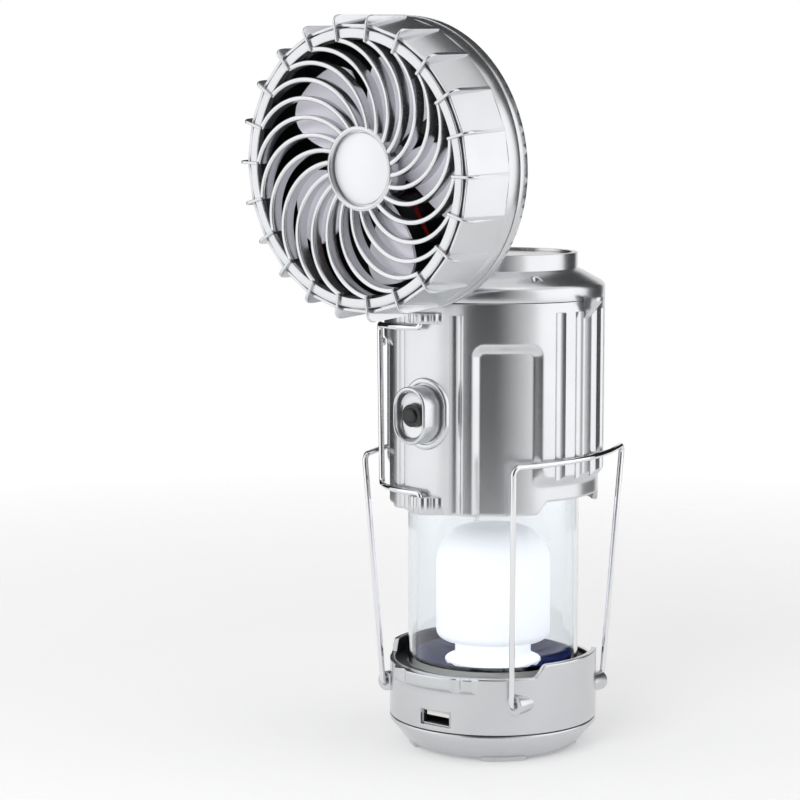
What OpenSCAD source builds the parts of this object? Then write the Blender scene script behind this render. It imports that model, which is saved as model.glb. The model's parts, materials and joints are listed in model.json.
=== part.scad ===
// Camping lantern. A sleeve slides down over a clear lamp tube, a fan folds back onto the lid,
// a torch looks out of the foot, and wire bails and a wire handle carry it.
// Millimetres, +Z up, the front faces -Y. The origin is the middle of the plane that the feet
// stand on. Sizes named _up are heights above the sleeve's lower front edge.

/* [Shells] */
// Diameter of the base and of the sleeve's skin
shell_d = 83.6; // [83:0.2:85]
// Diameter of the sleeve's raised panels and of the lid
panel_d = 88; // [87.4:0.2:89]
// Wall of the moulded shells
wall = 2; // [1.8:0.1:2.2]
// Gap between two pieces that are pressed or screwed together
fit = 0.05; // [0.03:0.01:0.08]
// Gap between two pieces that slide past each other
slip = 0.3; // [0.25:0.05:0.4]
// Radial gap around a pin or wire that turns in its bore
pin_gap = 0.05; // [0.04:0.01:0.08]

/* [Foot and torch] */
// Diameter over the four feet
foot_d = 68.4; // [66:0.2:70]
// Height of a foot
foot_h = 1.6; // [1.2:0.1:2]
// Angle that one foot covers
foot_angle = 31; // [24:1:40]
// Height of the torch bezel
bezel_h = 12.2; // [12:0.1:13]
// Height at which the bezel's slope meets its straight side
bezel_slope_h = 10.5; // [9.5:0.1:11]
// Thickness of the dark seam ring
gasket_t = 0.7; // [0.5:0.1:1]
// Diameter of the torch lens
torch_lens_d = 57.2; // [54:0.2:58]
// Thickness of the torch lens
torch_lens_t = 1.4; // [1.2:0.1:1.6]

/* [Base] */
// Height of the base rim at the front
rim_h = 34.9; // [34.5:0.1:36]
// Angle from the front at which the rim starts to rise
rise_angle = 60.5; // [58:0.5:62]
// Rise of the rim and of the sleeve's edge at the sides
rise = 4.9; // [4:0.1:5.4]
// Length of the rise, measured from front to back
rise_len = 5; // [4:0.5:7]
// Height of the raised pad under the rim
base_pad_h = 4.4; // [3.5:0.1:5]
// How far the raised pad stands out
base_pad_t = 2; // [1.6:0.1:2.2]
// Diameter of one cell
cell_d = 18.2; // [17.8:0.1:18.4]
// Length of one cell
cell_len = 65; // [64:0.5:66]
// Thickness of the deck that carries the lamp
deck_t = 1.6; // [1.2:0.1:2]

/* [Charging port] */
// Angle of the port from the front
port_angle = 4.5; // [0:0.5:8]
// Width of the port's metal shell
port_w = 14; // [13:0.2:15]
// Height of the port's metal shell
port_h = 6.1; // [5.7:0.1:6.5]
// Height of the port's middle above the feet
port_z = 17.75; // [17.5:0.05:18.5]
// Depth of the port
port_depth = 12; // [11:0.5:13]

/* [Lamp] */
// Diameter of the clear tube
tube_d = 68.6; // [68:0.2:69]
// Wall of the clear tube
tube_wall = 2; // [1.6:0.1:2.4]
// Height of the stop ring at the tube's top
stop_h = 4; // [3:0.5:5]
// Diameter of the lamp shade
shade_d = 46; // [42:0.5:48]
// Diameter of the shade's neck
neck_d = 30; // [28:0.5:32]
// Height of the shade's top above the deck
shade_h = 55.2; // [52:0.2:56]
// Height of the shade's lower edge above the deck
shade_low = 13.6; // [12:0.2:15]
// Wall of the shade
shade_wall = 1.2; // [1:0.1:1.5]
// Height of the lamp reflector's rim above the deck
reflector_h = 8; // [7:0.2:9]

/* [Sleeve] */
// Height of the sleeve at the front
sleeve_len = 82.3; // [81.5:0.1:84]
// Height of the guide ring inside the sleeve
guide_h = 3; // [2.5:0.1:3.5]
// Height of the guide ring's lower face
guide_up = 5.8; // [5.6:0.1:6.5]
// Travel of the sleeve from open, as drawn, down to closed
travel = 64.1; // [62.9:0.1:65.5]
// Gap between sleeve and base rim when the sleeve is down
closed_gap = 0.2; // [0.1:0.05:0.5]
// Half the angle of the front and back panels at their face
front_half = 26.2; // [25:0.2:27]
// Angle of a window beside the front or back panel, at the panel's face
window_angle = 36.4; // [34:0.2:38]
// Angle that a window's side slope takes
slope_angle = 4; // [3:0.2:5]
// Height of the windows' upper edge
window_up = 66.3; // [64:0.1:68]
// Height of the side panels' lower edge
side_up = 14.3; // [12:0.1:16]

/* [Grooves] */
// Radius of the round cutter that makes a groove
groove_r = 3; // [2.5:0.1:3.5]
// Depth of a groove
groove_depth = 1.3; // [1:0.1:1.5]
// Angle of the front grooves from the front
front_groove = 17.9; // [16:0.1:19]
// Height of the front grooves' upper end
front_groove_up = 77.5; // [76:0.1:79]
// Height of the side grooves' upper end
side_groove_up = 78.3; // [76:0.1:80]
// Angle between two side grooves
side_groove_step = 13.2; // [12:0.1:14]
// Number of grooves on one side
side_grooves = 4; // [2:1:4]

/* [Switch] */
// Width of the switch pod
pod_w = 16.2; // [15:0.2:17]
// Height of the switch pod
pod_h = 22.6; // [21:0.2:24]
// Distance of the pod's face from the lantern's axis
pod_reach = 54; // [53.4:0.1:55]
// Height of the pod's middle
pod_up = 39; // [37:0.5:41]
// Width of the frame around the pod
frame_w = 2.3; // [1.8:0.1:2.6]
// Height of the frame around the pod
frame_t = 1.2; // [0.8:0.1:1.5]
// Diameter of the switch button
button_d = 5.6; // [5:0.1:6]
// Travel of the switch button
button_travel = 1.2; // [0.8:0.1:1.3]
// Side of the switch body
switch_w = 8.4; // [8:0.1:9]

/* [Wires] */
// Diameter of the bail and handle wire
wire_d = 2; // [1.8:0.05:2.1]
// Distance of a bail's pivot from the middle plane
bail_x = 32.6; // [32:0.1:33.4]
// Height of a bail's pivot
bail_z = 24.8; // [24:0.1:25.4]
// Half the distance between a bail's legs at the pivot
bail_foot_y = 30.5; // [30:0.1:31.5]
// Half the distance between a bail's legs at the top
bail_top_y = 36.2; // [35:0.1:37.5]
// Length of a bail's leg
bail_leg = 96.6; // [94:0.1:98]
// Outward lean of a bail
bail_lean = 2.85; // [2.8:0.05:3.5]
// Outward bow of a bail's bar
bail_bow = 8; // [7.9:0.1:10]
// Diameter of a bail's boss
boss_d = 7.2; // [6.6:0.1:7.6]
// Distance of the handle wire from the lantern's axis
handle_r = 46.8; // [46.5:0.1:47.2]
// Angle that the handle reaches round the sleeve
handle_angle = 41.5; // [36:0.5:46]
// Distance of the handle's arms from the brackets that hold it
handle_gap = 2; // [1.9:0.1:3]
// Radius of the brackets that hold the handle
bracket_r = 9.5; // [9:0.1:11]
// Height of the lower bracket
bracket_low_h = 6.8; // [6:0.1:7]
// Gap between the upper bracket and the fan above it
bracket_gap = 2; // [1.2:0.1:2.2]
// Height of the upper bracket
bracket_top_h = 4.3; // [4:0.1:5]

/* [Lid] */
// Height of the lid's straight side
lid_side_h = 3.7; // [3:0.1:4.5]
// Diameter of the collar on the lid
collar_d = 66; // [65:0.2:67]
// Height of the collar's foot above the lid's lower edge
collar_up = 11.3; // [11:0.1:12]
// Height of the collar
collar_h = 6.2; // [6:0.1:7]
// Width of the collar's rim around the solar panel
solar_rim = 2.5; // [2.3:0.1:4]
// Thickness of the solar panel
solar_t = 1.4; // [1:0.1:1.6]
// Angle of the lid screws from the front
lid_screw_angle = 62; // [58:1:66]
// Distance of the lid screws from the lantern's axis
lid_screw_r = 38.4; // [37.8:0.1:38.6]

/* [Fan] */
// Radius of the fan's opening
fan_open_r = 48; // [47:0.1:49]
// Radius of the drum at its widest
drum_r = 56.2; // [55.4:0.1:57]
// Depth of the drum's sloping part
drum_slope_s = 21.8; // [20:0.1:23]
// Depth of the seam between the drum's two shells
drum_seam_s = 28.5; // [28:0.1:30]
// Depth of the drum's rear edge
drum_rear_s = 36.5; // [36:0.1:37.5]
// Radius of the round housing behind the drum
rear_r = 34.5; // [33.5:0.1:35]
// Depth of the whole fan
fan_depth = 46.2; // [45.4:0.1:47]
// Wall of the fan's shells
fan_wall = 1.7; // [1.5:0.1:2]
// Number of fins and vanes
fins = 22; // [18:1:26]
// Thickness of a fin
fin_t = 1.2; // [1:0.1:1.6]
// Radius of the fins' outer edge
fin_r = 57; // [56.6:0.1:57.6]
// How far the fins stand in front of the face
fin_up = 1.2; // [0.8:0.1:1.6]
// Clock angle of the first fin, seen from the front
fin_start = 10.4; // [0:0.1:16]
// Width of a vane
vane_t = 1; // [0.8:0.1:1.3]
// Depth of a vane
vane_depth = 5.4; // [4:0.1:5.6]
// Radius of a vane's curve
vane_r = 24.05; // [23.5:0.05:24.6]
// Distance of the vane curve's middle from the fan's axis
vane_offset = 24.94; // [24.8:0.02:25.4]
// Angle from a vane's fin to the middle of its curve
vane_lag = 13.6; // [12:0.1:15]
// How far the grille's hub lies behind its ring
hub_drop = 3.8; // [2:0.1:4.2]
// Radius of the hub disc
hub_disc_r = 13.7; // [12:0.1:14]
// Number of fan blades
blades = 5; // [3:1:6]
// Radius of the fan blades
blade_r = 45; // [42:0.1:46]
// Thickness of a fan blade
blade_t = 1.3; // [1:0.1:1.6]
// Pitch of the fan blades
blade_pitch = 28; // [20:1:32]
// Diameter of the fan motor
motor_d = 24; // [22:0.1:25]

/* [Hinge] */
// Distance of the hinge from the collar
hinge_out = 4; // [3.9:0.1:5]
// Height of the hinge above the lid's lower edge
hinge_up = 16.65; // [16.5:0.05:17.4]
// Radius of the hinge knuckles
knuckle_r = 3.5; // [3.3:0.1:3.6]
// Width of the fan's knuckle
knuckle_w = 10; // [8:0.5:12]
// Width of one fixed knuckle
ear_w = 4; // [3:0.5:5]
// Diameter of the hinge screw
hinge_screw_d = 3; // [2.5:0.1:3.4]
// Tilt of the fan from lying on the lid to facing forward
fan_tilt = 92.9; // [90:0.1:93.5]

/* [Hidden] */
$fn = 96;

eps = 0.01;
shell_r = shell_d / 2;
panel_r = panel_d / 2;
bore_r = shell_r - wall;
wire_r = wire_d / 2;
wire_bore_r = wire_r + pin_gap;
wire_sides = 8;
wire_over = 1.04;
wire_lap = 0.4;
air = 0.1;
SILVER = "#c6c8ca";
CHROME = "#e3e5e8";
BLACK = "#17181a";
BOARD = "#1f5a38";

// Base heights
gasket_top = bezel_h + gasket_t;
floor_t = 1.2;
floor_z = bezel_h - floor_t;
spigot_r = bore_r - 1.2;
inner_r = spigot_r - wall - slip;
cell_floor = 0.8;
cell_z = bezel_h + cell_floor + cell_d / 2;
cell_y = cell_d / 2 + 0.2;
deck_z = cell_z + cell_d / 2 + 0.2;
deck_top = deck_z + deck_t;
tube_r = tube_d / 2;
tube_in = tube_r - tube_wall;

// Places along the rise of the rim, from front to back
rise_y = shell_r * cos(rise_angle);
rise_back_y = shell_r * cos(127) * -1 + rise_len / 2;

// Sleeve heights
sleeve_z = rim_h + closed_gap + travel;
tube_top = sleeve_z + guide_up + guide_h + slip + stop_h;
lid_z = sleeve_z + sleeve_len + 0.2;
lid_top = collar_up + collar_h;
solar_d = collar_d - 2 * solar_rim;
slope_h = 3.7;
side_slope_h = panel_r - shell_r;
back_half = front_half - 6.6;
side_half = (180 - front_half - back_half - 2 * window_angle) / 2;
side_angle = front_half + window_angle + side_half;

// Bail shape
stub_y = 21.5;
boss_tip_y = bail_foot_y - wire_r - slip;
bail_corner = 3;
boss_relief = 0.85;
bail_vertex = bail_bow + 5.2;
bail_arc = (bail_vertex - bail_bow) / (1 / cos(atan(bail_vertex / bail_top_y)) - 1);

// Switch depths, measured from the lantern's axis
board_t = 1.2;
switch_h = 6;
collar_len = 3.9;
dish_floor = 1.7;
switch_front = pod_reach - dish_floor - collar_len;
switch_back = switch_front - switch_h;
pocket_y = switch_back - board_t;
switch_hole_r = 4.5;

// Fan: its own frame has the opening's middle at the origin and faces +Z
hinge_z = lid_z + hinge_up;
hinge_y = collar_d / 2 + hinge_out;
rest_gap = 0.5;
face_h = lid_z + lid_top + rest_gap + fan_depth;
hinge_s = face_h - hinge_z;
fan_low_up = hinge_z - sleeve_z + (hinge_y - drum_r + 1) * sin(fan_tilt)
    + (hinge_s - drum_rear_s) * cos(fan_tilt);
grille_r = fan_open_r - fit;
flange_s = 4.6;
drum_back_r = drum_r - 1;
rotor_front_s = 9;
rotor_h = 10.5;
rotor_hub_r = 11;
hub_front_s = hub_drop + 0.3;
hub_seat_s = hub_drop + 2.2;
hub_back_s = rotor_front_s - 1.2;
blade_root = 4;
blade_w = 24;
motor_s = 21;
motor_len = 20;
shaft_r = 1;
screw_r = hinge_screw_d / 2;
head_r = 2.8;

// Torch
lens_z = foot_h + 1;
lens_top = lens_z + torch_lens_t;
torch_hole_r = 4.6;

// Charging port
port_x = shell_r * sin(port_angle);
port_front = shell_r * cos(port_angle) - 1.2;
port_wall = 0.6;
port_back = port_front - port_depth;
peg_x = 14;
port_board_w = 34;
port_board_d = 14.8;
port_board_t = 1.6;
port_chip_w = 8;
port_chip_d = 6;
port_chip_h = 1.5;
board_z = port_z - port_h / 2 - port_board_t;

// Cells
cradle_h = 8.4;
contact_t = 0.3;

// Lamp
neck_r = neck_d / 2;

// Lid screws
lid_thread_r = 0.8;
lid_boss_up = sleeve_len - 4.3;

// Button
button_hole_r = button_d / 2 + air;

// Button stem
stem_r = 1.7;
stem_len = 2;

// Handle and its brackets. The upper bracket hangs just below the fan's lowest edge
bracket_top_up = fan_low_up - bracket_gap - bracket_top_h;
handle_low_up = bracket_low_h + handle_gap;
handle_top_up = bracket_top_up - handle_gap;
rest_up = handle_top_up - 9;
rest_w = 4.5;
rest_h = 3;

// Bail catches
catch_w = 4;
catch_y = 1.5;
catch_reach = 6;
catch_top = sleeve_len + 1.6;
catch_shelf = 1.6;
catch_drop = 8;

// Lid
lid_head_r = 1.35;
lid_hole_r = lid_head_r + air;
lid_head_up = 4;
solar_seat = lid_top - 0.8 - solar_t;

// Control board
board_screw_r = collar_d / 2 - 9;
board_thread_r = 0.8;
board_thread_len = 2.6;
board_head_r = 1.6;
board_up = -1.4;
control_r = board_screw_r + 5;
control_t = 1.6;
chip_w = 12;
chip_d = 8;
chip_h = 3;
coil_r = 4;
coil_h = 5;

// Hinge
ear_gap = 0.3;
ear_x = knuckle_w / 2 + ear_gap + ear_w / 2;
hinge_half = ear_x + ear_w / 2;

// Fan drum
face_r = fan_open_r + 3.3;
groove_out = face_r + 0.9;
drum_front_r = groove_out + 0.6;
seam_r = drum_r - 0.3;
fin_end_s = drum_slope_s - 0.5;

// Rear housing
boss_wall = 2;
boss_in = rear_r - boss_wall;
motor_x = motor_d / 2;

// Vents
vent_count = 24;
vent_w = 2.6;
vent_len = 11.5;

// Motor clamp and leads
cradle_r = motor_x + 2;
cradle_s = motor_s + 9;
lug_w = 6;
lug_t = 2;
lug_len = boss_in - motor_x - 3;
lug_hole_r = 1.1;
lead_r = 0.8;

function unit(v) = v / norm(v);
function polar(r, angle, z = 0) = [r * sin(angle), -r * cos(angle), z];
function turn(a, b) = acos(max(-1, min(1, a * b)));
// Rise from z0 to z1 between y0 and y1, level at both ends
function ease(y0, z0, y1, z1, n = 12) =
    [for (i = [0:n]) [y0 + (y1 - y0) * i / n, z0 + (z1 - z0) * (1 - cos(180 * i / n)) / 2]];
// Line of the base rim seen from the side, which the sleeve's lower edge repeats
function rim_line(z) = concat([[-panel_d, z]],
    ease(-rise_y, z, -rise_y + rise_len, z + rise),
    ease(rise_back_y - rise_len, z + rise, rise_back_y, z), [[panel_d, z]]);
// Circular arc as outline points
function arc(cx, cy, r, a0, a1, n = 8) =
    [for (i = [0:n]) [cx + r * cos(a0 + (a1 - a0) * i / n), cy + r * sin(a0 + (a1 - a0) * i / n)]];

module turned(profile) rotate_extrude() polygon(profile);

module tube(r_out, r_in, z0, z1) translate([0, 0, z0]) difference() {
    cylinder(r = r_out, h = z1 - z0);
    translate([0, 0, -1]) cylinder(r = r_in, h = z1 - z0 + 2);
}

// Outline in Y and Z, drawn out along X and centred on the middle plane
module across(width) rotate([90, 0, 90]) linear_extrude(width, center = true) children();

// Cylinder along X, centred
module pin_x(r, width) rotate([0, 90, 0]) cylinder(r = r, h = width, center = true);

// Upright racetrack drawn out along -Y from y = -back to y = -front
module racetrack(w, h, back, front) translate([0, -back, 0]) rotate([90, 0, 0])
    linear_extrude(front - back) union() {
        square([w, h - w], center = true);
        for (s = [-1, 1]) translate([0, s * (h - w) / 2]) circle(d = w);
    }

module box(w, d, h, at) translate(at) translate([-w / 2, -d / 2, 0]) cube([w, d, h]);

// Points and directions along a bend of a wire, from direction a to direction b
function bend_path(corner, a, b, bend) = let (angle = turn(a, b), inward = unit(b - (a * b) * a),
    start = corner - a * bend * tan(angle / 2), steps = max(4, ceil(bend / 8)))
    [for (k = [0:steps]) let (t = angle * k / steps)
        [start + inward * bend * (1 - cos(t)) + a * bend * sin(t), a * cos(t) + inward * sin(t)]];

// Whole centre line of a wire, with one bend radius for each inner corner
function wire_path(corners, bends) = let (last = len(corners) - 1,
    runs = [for (i = [0:last - 1]) unit(corners[i + 1] - corners[i])])
    concat([[corners[0], runs[0]]],
        [for (i = [1:last - 1]) each bend_path(corners[i], runs[i - 1], runs[i], bends[i - 1])],
        [[corners[last], runs[last - 1]]]);

// Round wire along corners, drawn as a ring of flats at each step of its centre line
module wire(corners, bends, r) {
    path = wire_path(corners, bends);
    n = len(path);
    across_start = unit(cross(path[0][1], abs(path[0][1][2]) < 0.9 ? [0, 0, 1] : [1, 0, 0]));
    side = [for (i = 0, x = across_start; i < n; i = i + 1,
        x = i < n ? unit(x - (x * path[i][1]) * path[i][1]) : x) x];
    rings = [for (i = [0:n - 1], k = [0:wire_sides - 1]) let (t = 360 * k / wire_sides)
        path[i][0] + r * wire_over * (cos(t) * side[i] + sin(t) * cross(path[i][1], side[i]))];
    walls = [for (i = [0:n - 2], k = [0:wire_sides - 1]) let (a = i * wire_sides + k,
        b = i * wire_sides + (k + 1) % wire_sides) each
        [[b, a, a + wire_sides], [b, a + wire_sides, b + wire_sides]]];
    polyhedron(rings, concat([[for (k = [0:wire_sides - 1]) k]], walls,
        [[for (k = [wire_sides - 1:-1:0]) (n - 1) * wire_sides + k]]));
}

// Wedge of a plan whose two sides slope from a wide angle at the skin to a narrow one at the face
module panel_plan(half, h) {
    wide = polar(shell_r, half + slope_angle);
    face = polar(panel_r, half);
    start = wide - 0.4 * (face - wide);
    end = wide + 1.6 * (face - wide);
    linear_extrude(h) polygon([[-start[0], start[1]], [-end[0], end[1]], [-end[0], -panel_d],
        [end[0], -panel_d], [end[0], end[1]], [start[0], start[1]]]);
}

// Raised panel that starts with a slope at its lower edge
module panel(half, low, high, slope, face_r = panel_r) intersection() {
    translate([0, 0, low - slope - 1]) panel_plan(half, high - low + slope + 2);
    turned([[bore_r + 0.5, low - slope], [shell_r, low - slope], [face_r, low],
        [face_r, high], [bore_r + 0.5, high]]);
}

// Round-bottomed groove along the panel's face
module groove(angle, low, high, face_r = panel_r)
    translate(polar(face_r - groove_depth + groove_r, angle, low)) cylinder(r = groove_r, h = high - low);

// Everything that rides on the sleeve is drawn from its lower edge up
module on_sleeve() translate([0, 0, sleeve_z]) children();

// Everything on the fan is drawn facing up and then tilted about the hinge
module on_fan() translate([0, -hinge_y, hinge_z]) rotate([fan_tilt, 0, 0])
    translate([0, hinge_y, hinge_s]) children();

module torch_bezel() color(SILVER) {
    lens_r = torch_lens_d / 2;
    turned([[lens_r - 1.3, foot_h], [foot_d / 2 - 0.6, foot_h], [foot_d / 2 + 0.4, foot_h + 0.5],
        [shell_r, bezel_slope_h], [shell_r, bezel_h], [spigot_r + fit, bezel_h],
        [spigot_r + fit, floor_z - 0.6], [lens_r + fit, floor_z - 1.6],
        [lens_r + fit, foot_h + 1], [lens_r - 1.3, foot_h + 1]]);
    for (i = [0:3]) rotate([0, 0, 45 + 90 * i]) rotate([0, 0, -foot_angle / 2])
        rotate_extrude(angle = foot_angle)
            polygon([[lens_r + 0.6, 0], [foot_d / 2 - 0.6, 0], [foot_d / 2, 0.6],
                [foot_d / 2, foot_h + 1], [lens_r + 0.6, foot_h + 1]]);
}

module torch_lens() color("#dfe8ea", 0.5)
    translate([0, 0, lens_z]) cylinder(d = torch_lens_d, h = torch_lens_t);

module torch_reflector() color(CHROME) {
    rim = torch_lens_d / 2;
    top = floor_z - 1.1;
    turned(concat([[rim, lens_top + air], [rim, lens_top + 1.1]],
        [[torch_hole_r + 1, top], [torch_hole_r, top]],
        [[torch_hole_r, top - 1], [rim - 1.2, lens_top + air]]));
}

module torch_board() {
    color(BOARD) translate([0, 0, floor_z - 1]) cylinder(r = 9, h = 0.9);
    color("#e8d878") translate([0, 0, floor_z - 2]) cylinder(r = 2.5, h = 1);
}

module seam_gasket() color(BLACK) tube(shell_r - 0.3, spigot_r + fit, bezel_h, gasket_top);

module boss_blank(sx, sy) translate([sx * bail_x, sy * (stub_y - 1.5), bail_z])
    rotate([sy * -90, 0, 0]) cylinder(d = boss_d, h = boss_tip_y - stub_y + 1.5);

module boss_bore(sx, sy) translate([sx * bail_x, sy * (stub_y - 0.5), bail_z])
    rotate([sy * -90, 0, 0]) {
        cylinder(r = wire_bore_r, h = 20);
        translate([0, 0, bail_foot_y - bail_corner - boss_relief - stub_y + 0.5])
            cylinder(r = wire_r + boss_relief, h = 20);
    }

module base_housing() color(SILVER) {
    ledge = 2;
    difference() {
        union() {
            difference() {
                union() {
                    tube(shell_r, bore_r, gasket_top, rim_h + rise);
                    tube(bore_r + eps, bore_r - ledge, deck_z - ledge, deck_z);
                    intersection() {
                        panel(front_half, rim_h - base_pad_h, rim_h, base_pad_t, shell_r + base_pad_t);
                        translate([0, 0, rim_h - base_pad_h - base_pad_t]) cylinder(r = panel_d, h = 20);
                    }
                }
                across(2 * panel_d) polygon(concat(rim_line(rim_h),
                    [[panel_d, panel_d], [-panel_d, panel_d]]));
                for (s = [-1, 1])
                    groove(s * front_groove, rim_h - base_pad_h - 4, rim_h + 1, shell_r + base_pad_t);
            }
            translate([0, 0, floor_z]) cylinder(r = spigot_r, h = floor_t);
            tube(spigot_r, spigot_r - wall, floor_z, gasket_top);
            tube(bore_r + wall / 2, spigot_r - wall, gasket_top, gasket_top + 1.2);
            for (x = [-peg_x, peg_x]) translate([x, -24, floor_z]) cylinder(r = 1.5, h = board_z - floor_z);
            for (sx = [-1, 1], sy = [-1, 1]) boss_blank(sx, sy);
        }
        for (sx = [-1, 1], sy = [-1, 1]) boss_bore(sx, sy);
        box(port_w + 2 * air, 2 * wall + 4, port_h + 2 * air,
            [port_x, -port_front, port_z - port_h / 2 - air]);
    }
}

module base_board() color(BOARD) intersection() {
    edge_y = 2 * cell_y + 1.6;
    union() {
        box(port_board_w, port_board_d, port_board_t, [0, -edge_y - port_board_d / 2, board_z]);
        box(port_chip_w, port_chip_d, port_chip_h,
            [-port_board_w / 4, -edge_y - port_chip_d, board_z + port_board_t]);
    }
    cylinder(r = inner_r, h = rim_h);
}

module port_shell() color(CHROME) difference() {
    box(port_w, port_depth, port_h, [port_x, -(port_front + port_back) / 2, port_z - port_h / 2]);
    box(port_w - 2 * port_wall, port_depth, port_h - 2 * port_wall,
        [port_x, -(port_front + port_back) / 2 - 2 * port_wall, port_z - port_h / 2 + port_wall]);
}

module port_tongue() color("#e9e7e0") {
    back = port_back + 2 * port_wall;
    depth = port_front - 1 - back;
    box(port_w - 3, depth, 1.7, [port_x, -back - depth / 2, port_z + port_h / 2 - port_wall - 2]);
}

module cells_at(r) for (s = [-1, 1]) translate([0, s * cell_y, cell_z]) pin_x(r, cell_len);

module battery_cells() color("#2f6fa8") cells_at(cell_d / 2);

module cell_cradle() color("#3a3c3f") difference() {
    intersection() {
        box(cell_len + 2 * contact_t + 3, 4 * cell_y + 1, cradle_h, [0, 0, bezel_h]);
        cylinder(r = inner_r, h = rim_h);
    }
    for (s = [-1, 1]) translate([0, s * cell_y, cell_z]) pin_x(cell_d / 2 + air, cell_len);
    translate([0, 0, cell_z]) for (s = [-1, 1])
        box(contact_t + air, 4 * cell_y - 3, cell_d, [s * (cell_len + contact_t) / 2, 0, -cell_d / 2]);
}

module cell_contacts() color("#d5d2c8") for (s = [-1, 1])
    box(contact_t, 4 * cell_y - 4, cell_d - 1, [s * (cell_len + contact_t) / 2, 0, cell_z - cell_d / 2 + 0.2]);

module lamp_deck() color("#b9bcbf") {
    translate([0, 0, deck_z]) cylinder(r = bore_r - slip, h = deck_t);
    tube(tube_in - air, tube_in - 2, deck_top - eps, deck_top + 2.5);
}

module lamp_tube() color("#eef6f8", 0.3) tube(tube_r, tube_in, deck_top, tube_top);

module tube_stop_ring() color(SILVER) tube(bore_r - slip, tube_r + fit, tube_top - stop_h, tube_top);

module lamp_reflector() color(CHROME) {
    foot_r = neck_r + 0.4;
    rim_r = tube_in - slip;
    turned([[foot_r, deck_top], [foot_r + 1.2, deck_top], [foot_r + 1.2, deck_top + 2.4],
        [rim_r, deck_top + reflector_h - 1.2], [rim_r, deck_top + reflector_h],
        [foot_r, deck_top + 3.6]]);
}

module lamp_shade() color("#fbfbf7") {
    r = shade_d / 2;
    dome_h = 18;
    crown_r = 9;
    top = deck_top + shade_h;
    low = deck_top + shade_low;
    straight = top - dome_h;
    skirt = 4;
    difference() {
        turned(concat([[0, deck_top], [neck_r, deck_top], [neck_r, low - 1], [neck_r + 1, low]],
            arc(r - skirt, low + skirt, skirt, -90, 0),
            [for (i = [0:12]) [crown_r + (r - crown_r) * cos(90 * i / 12),
                straight + dome_h * sin(90 * i / 12)]],
            [[0, top]]));
        turned(concat([[0, deck_top - 1], [neck_r - shade_wall, deck_top - 1],
            [neck_r - shade_wall, low - 1], [neck_r + 1, low + shade_wall]],
            arc(r - skirt, low + skirt, skirt - shade_wall, -90, 0),
            [for (i = [0:12]) [crown_r + (r - shade_wall - crown_r) * cos(90 * i / 12),
                straight + (dome_h - shade_wall) * sin(90 * i / 12)]],
            [[0, top - shade_wall]]));
    }
}

module lamp_board() {
    board_r = neck_r - shade_wall - slip;
    color("#f2f2ee") translate([0, 0, deck_top]) cylinder(r = board_r, h = 1.6);
    color("#f0dc7a") for (i = [0:7]) rotate([0, 0, 45 * i])
        box(2.8, 2.8, 0.8, [board_r * 0.72, 0, deck_top + 1.6 - eps]);
}

// Height of a sloping edge at radius r, where the slope meets the panel's face at height z
function slope_z(r, z, h) = z - (panel_r - r) * h / (panel_r - shell_r);

// Sunk parts of the sleeve's skin: four windows and the band under the side panels
module sunk_skin() difference() {
    out = panel_r + 1;
    in = shell_r - 1;
    low = -5;
    span = sleeve_len - low;
    turned([[shell_r, low], [shell_r, slope_z(shell_r, window_up, slope_h)],
        [out, slope_z(out, window_up, slope_h)], [out, low]]);
    translate([0, 0, low - 1]) panel_plan(front_half, span);
    rotate([0, 0, 180]) translate([0, 0, low - 1]) panel_plan(back_half, span);
    for (s = [-1, 1]) rotate([0, 0, s * side_angle]) intersection() {
        panel_plan(side_half, span);
        turned([[in, slope_z(in, side_up, side_slope_h)], [out + 1, slope_z(out + 1, side_up, side_slope_h)],
            [out + 1, sleeve_len], [in, sleeve_len]]);
    }
}

module body_sleeve() color(SILVER) on_sleeve() difference() {
    union() {
        tube(panel_r, bore_r, 0, sleeve_len);
        for (s = [-1, 1]) translate(polar(lid_screw_r, s * lid_screw_angle, lid_boss_up))
            cylinder(r = 2.6, h = sleeve_len - lid_boss_up);
    }
    sunk_skin();
    across(2 * panel_d) polygon(concat(rim_line(0), [[panel_d, -panel_d], [-panel_d, -panel_d]]));
    for (s = [-1, 1]) {
        groove(s * front_groove, -1, front_groove_up);
        groove(180 + s * back_half / 2, -1, front_groove_up);
        for (i = [0:side_grooves - 1])
            groove(s * (side_angle + (i - (side_grooves - 1) / 2) * side_groove_step),
                side_up - 4, side_groove_up);
        translate(polar(lid_screw_r, s * lid_screw_angle, lid_boss_up + 1))
            cylinder(r = lid_thread_r + fit, h = 20);
    }
    translate([0, 0, pod_up]) racetrack(pod_w - 3, pod_h - 3, pocket_y, panel_d);
}

module sleeve_guide_ring() color(SILVER) on_sleeve()
    tube(bore_r - fit, tube_r + slip, guide_up, guide_up + guide_h);

module around_pod(extra, back, front) translate([0, 0, pod_up])
    racetrack(pod_w + 2 * extra, pod_h + 2 * extra, back, front);

module switch_frame() color(SILVER) on_sleeve() intersection() {
    difference() {
        around_pod(frame_w + 0.6, bore_r, pod_reach);
        around_pod(0.6, bore_r - 1, pod_reach + 1);
    }
    tube(panel_r + frame_t, panel_r + fit, 0, sleeve_len);
}

module switch_pod() color(SILVER) on_sleeve() difference() {
    around_pod(0, bore_r, pod_reach);
    around_pod(-1.6, bore_r - 1, pod_reach - 2);
    around_pod(-1.4, pod_reach - 0.9, pod_reach + 1);
    translate([0, 0, pod_up - pod_h]) cylinder(r = panel_r + fit, h = 2 * pod_h);
    translate([0, 0, pod_up]) rotate([90, 0, 0]) cylinder(r = switch_hole_r, h = panel_d);
}

module switch_collar() color(BLACK) on_sleeve() translate([0, 0, pod_up]) rotate([90, 0, 0])
    difference() {
        translate([0, 0, switch_front]) cylinder(r = switch_hole_r - air, h = collar_len);
        cylinder(r = button_hole_r, h = panel_d);
    }

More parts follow.
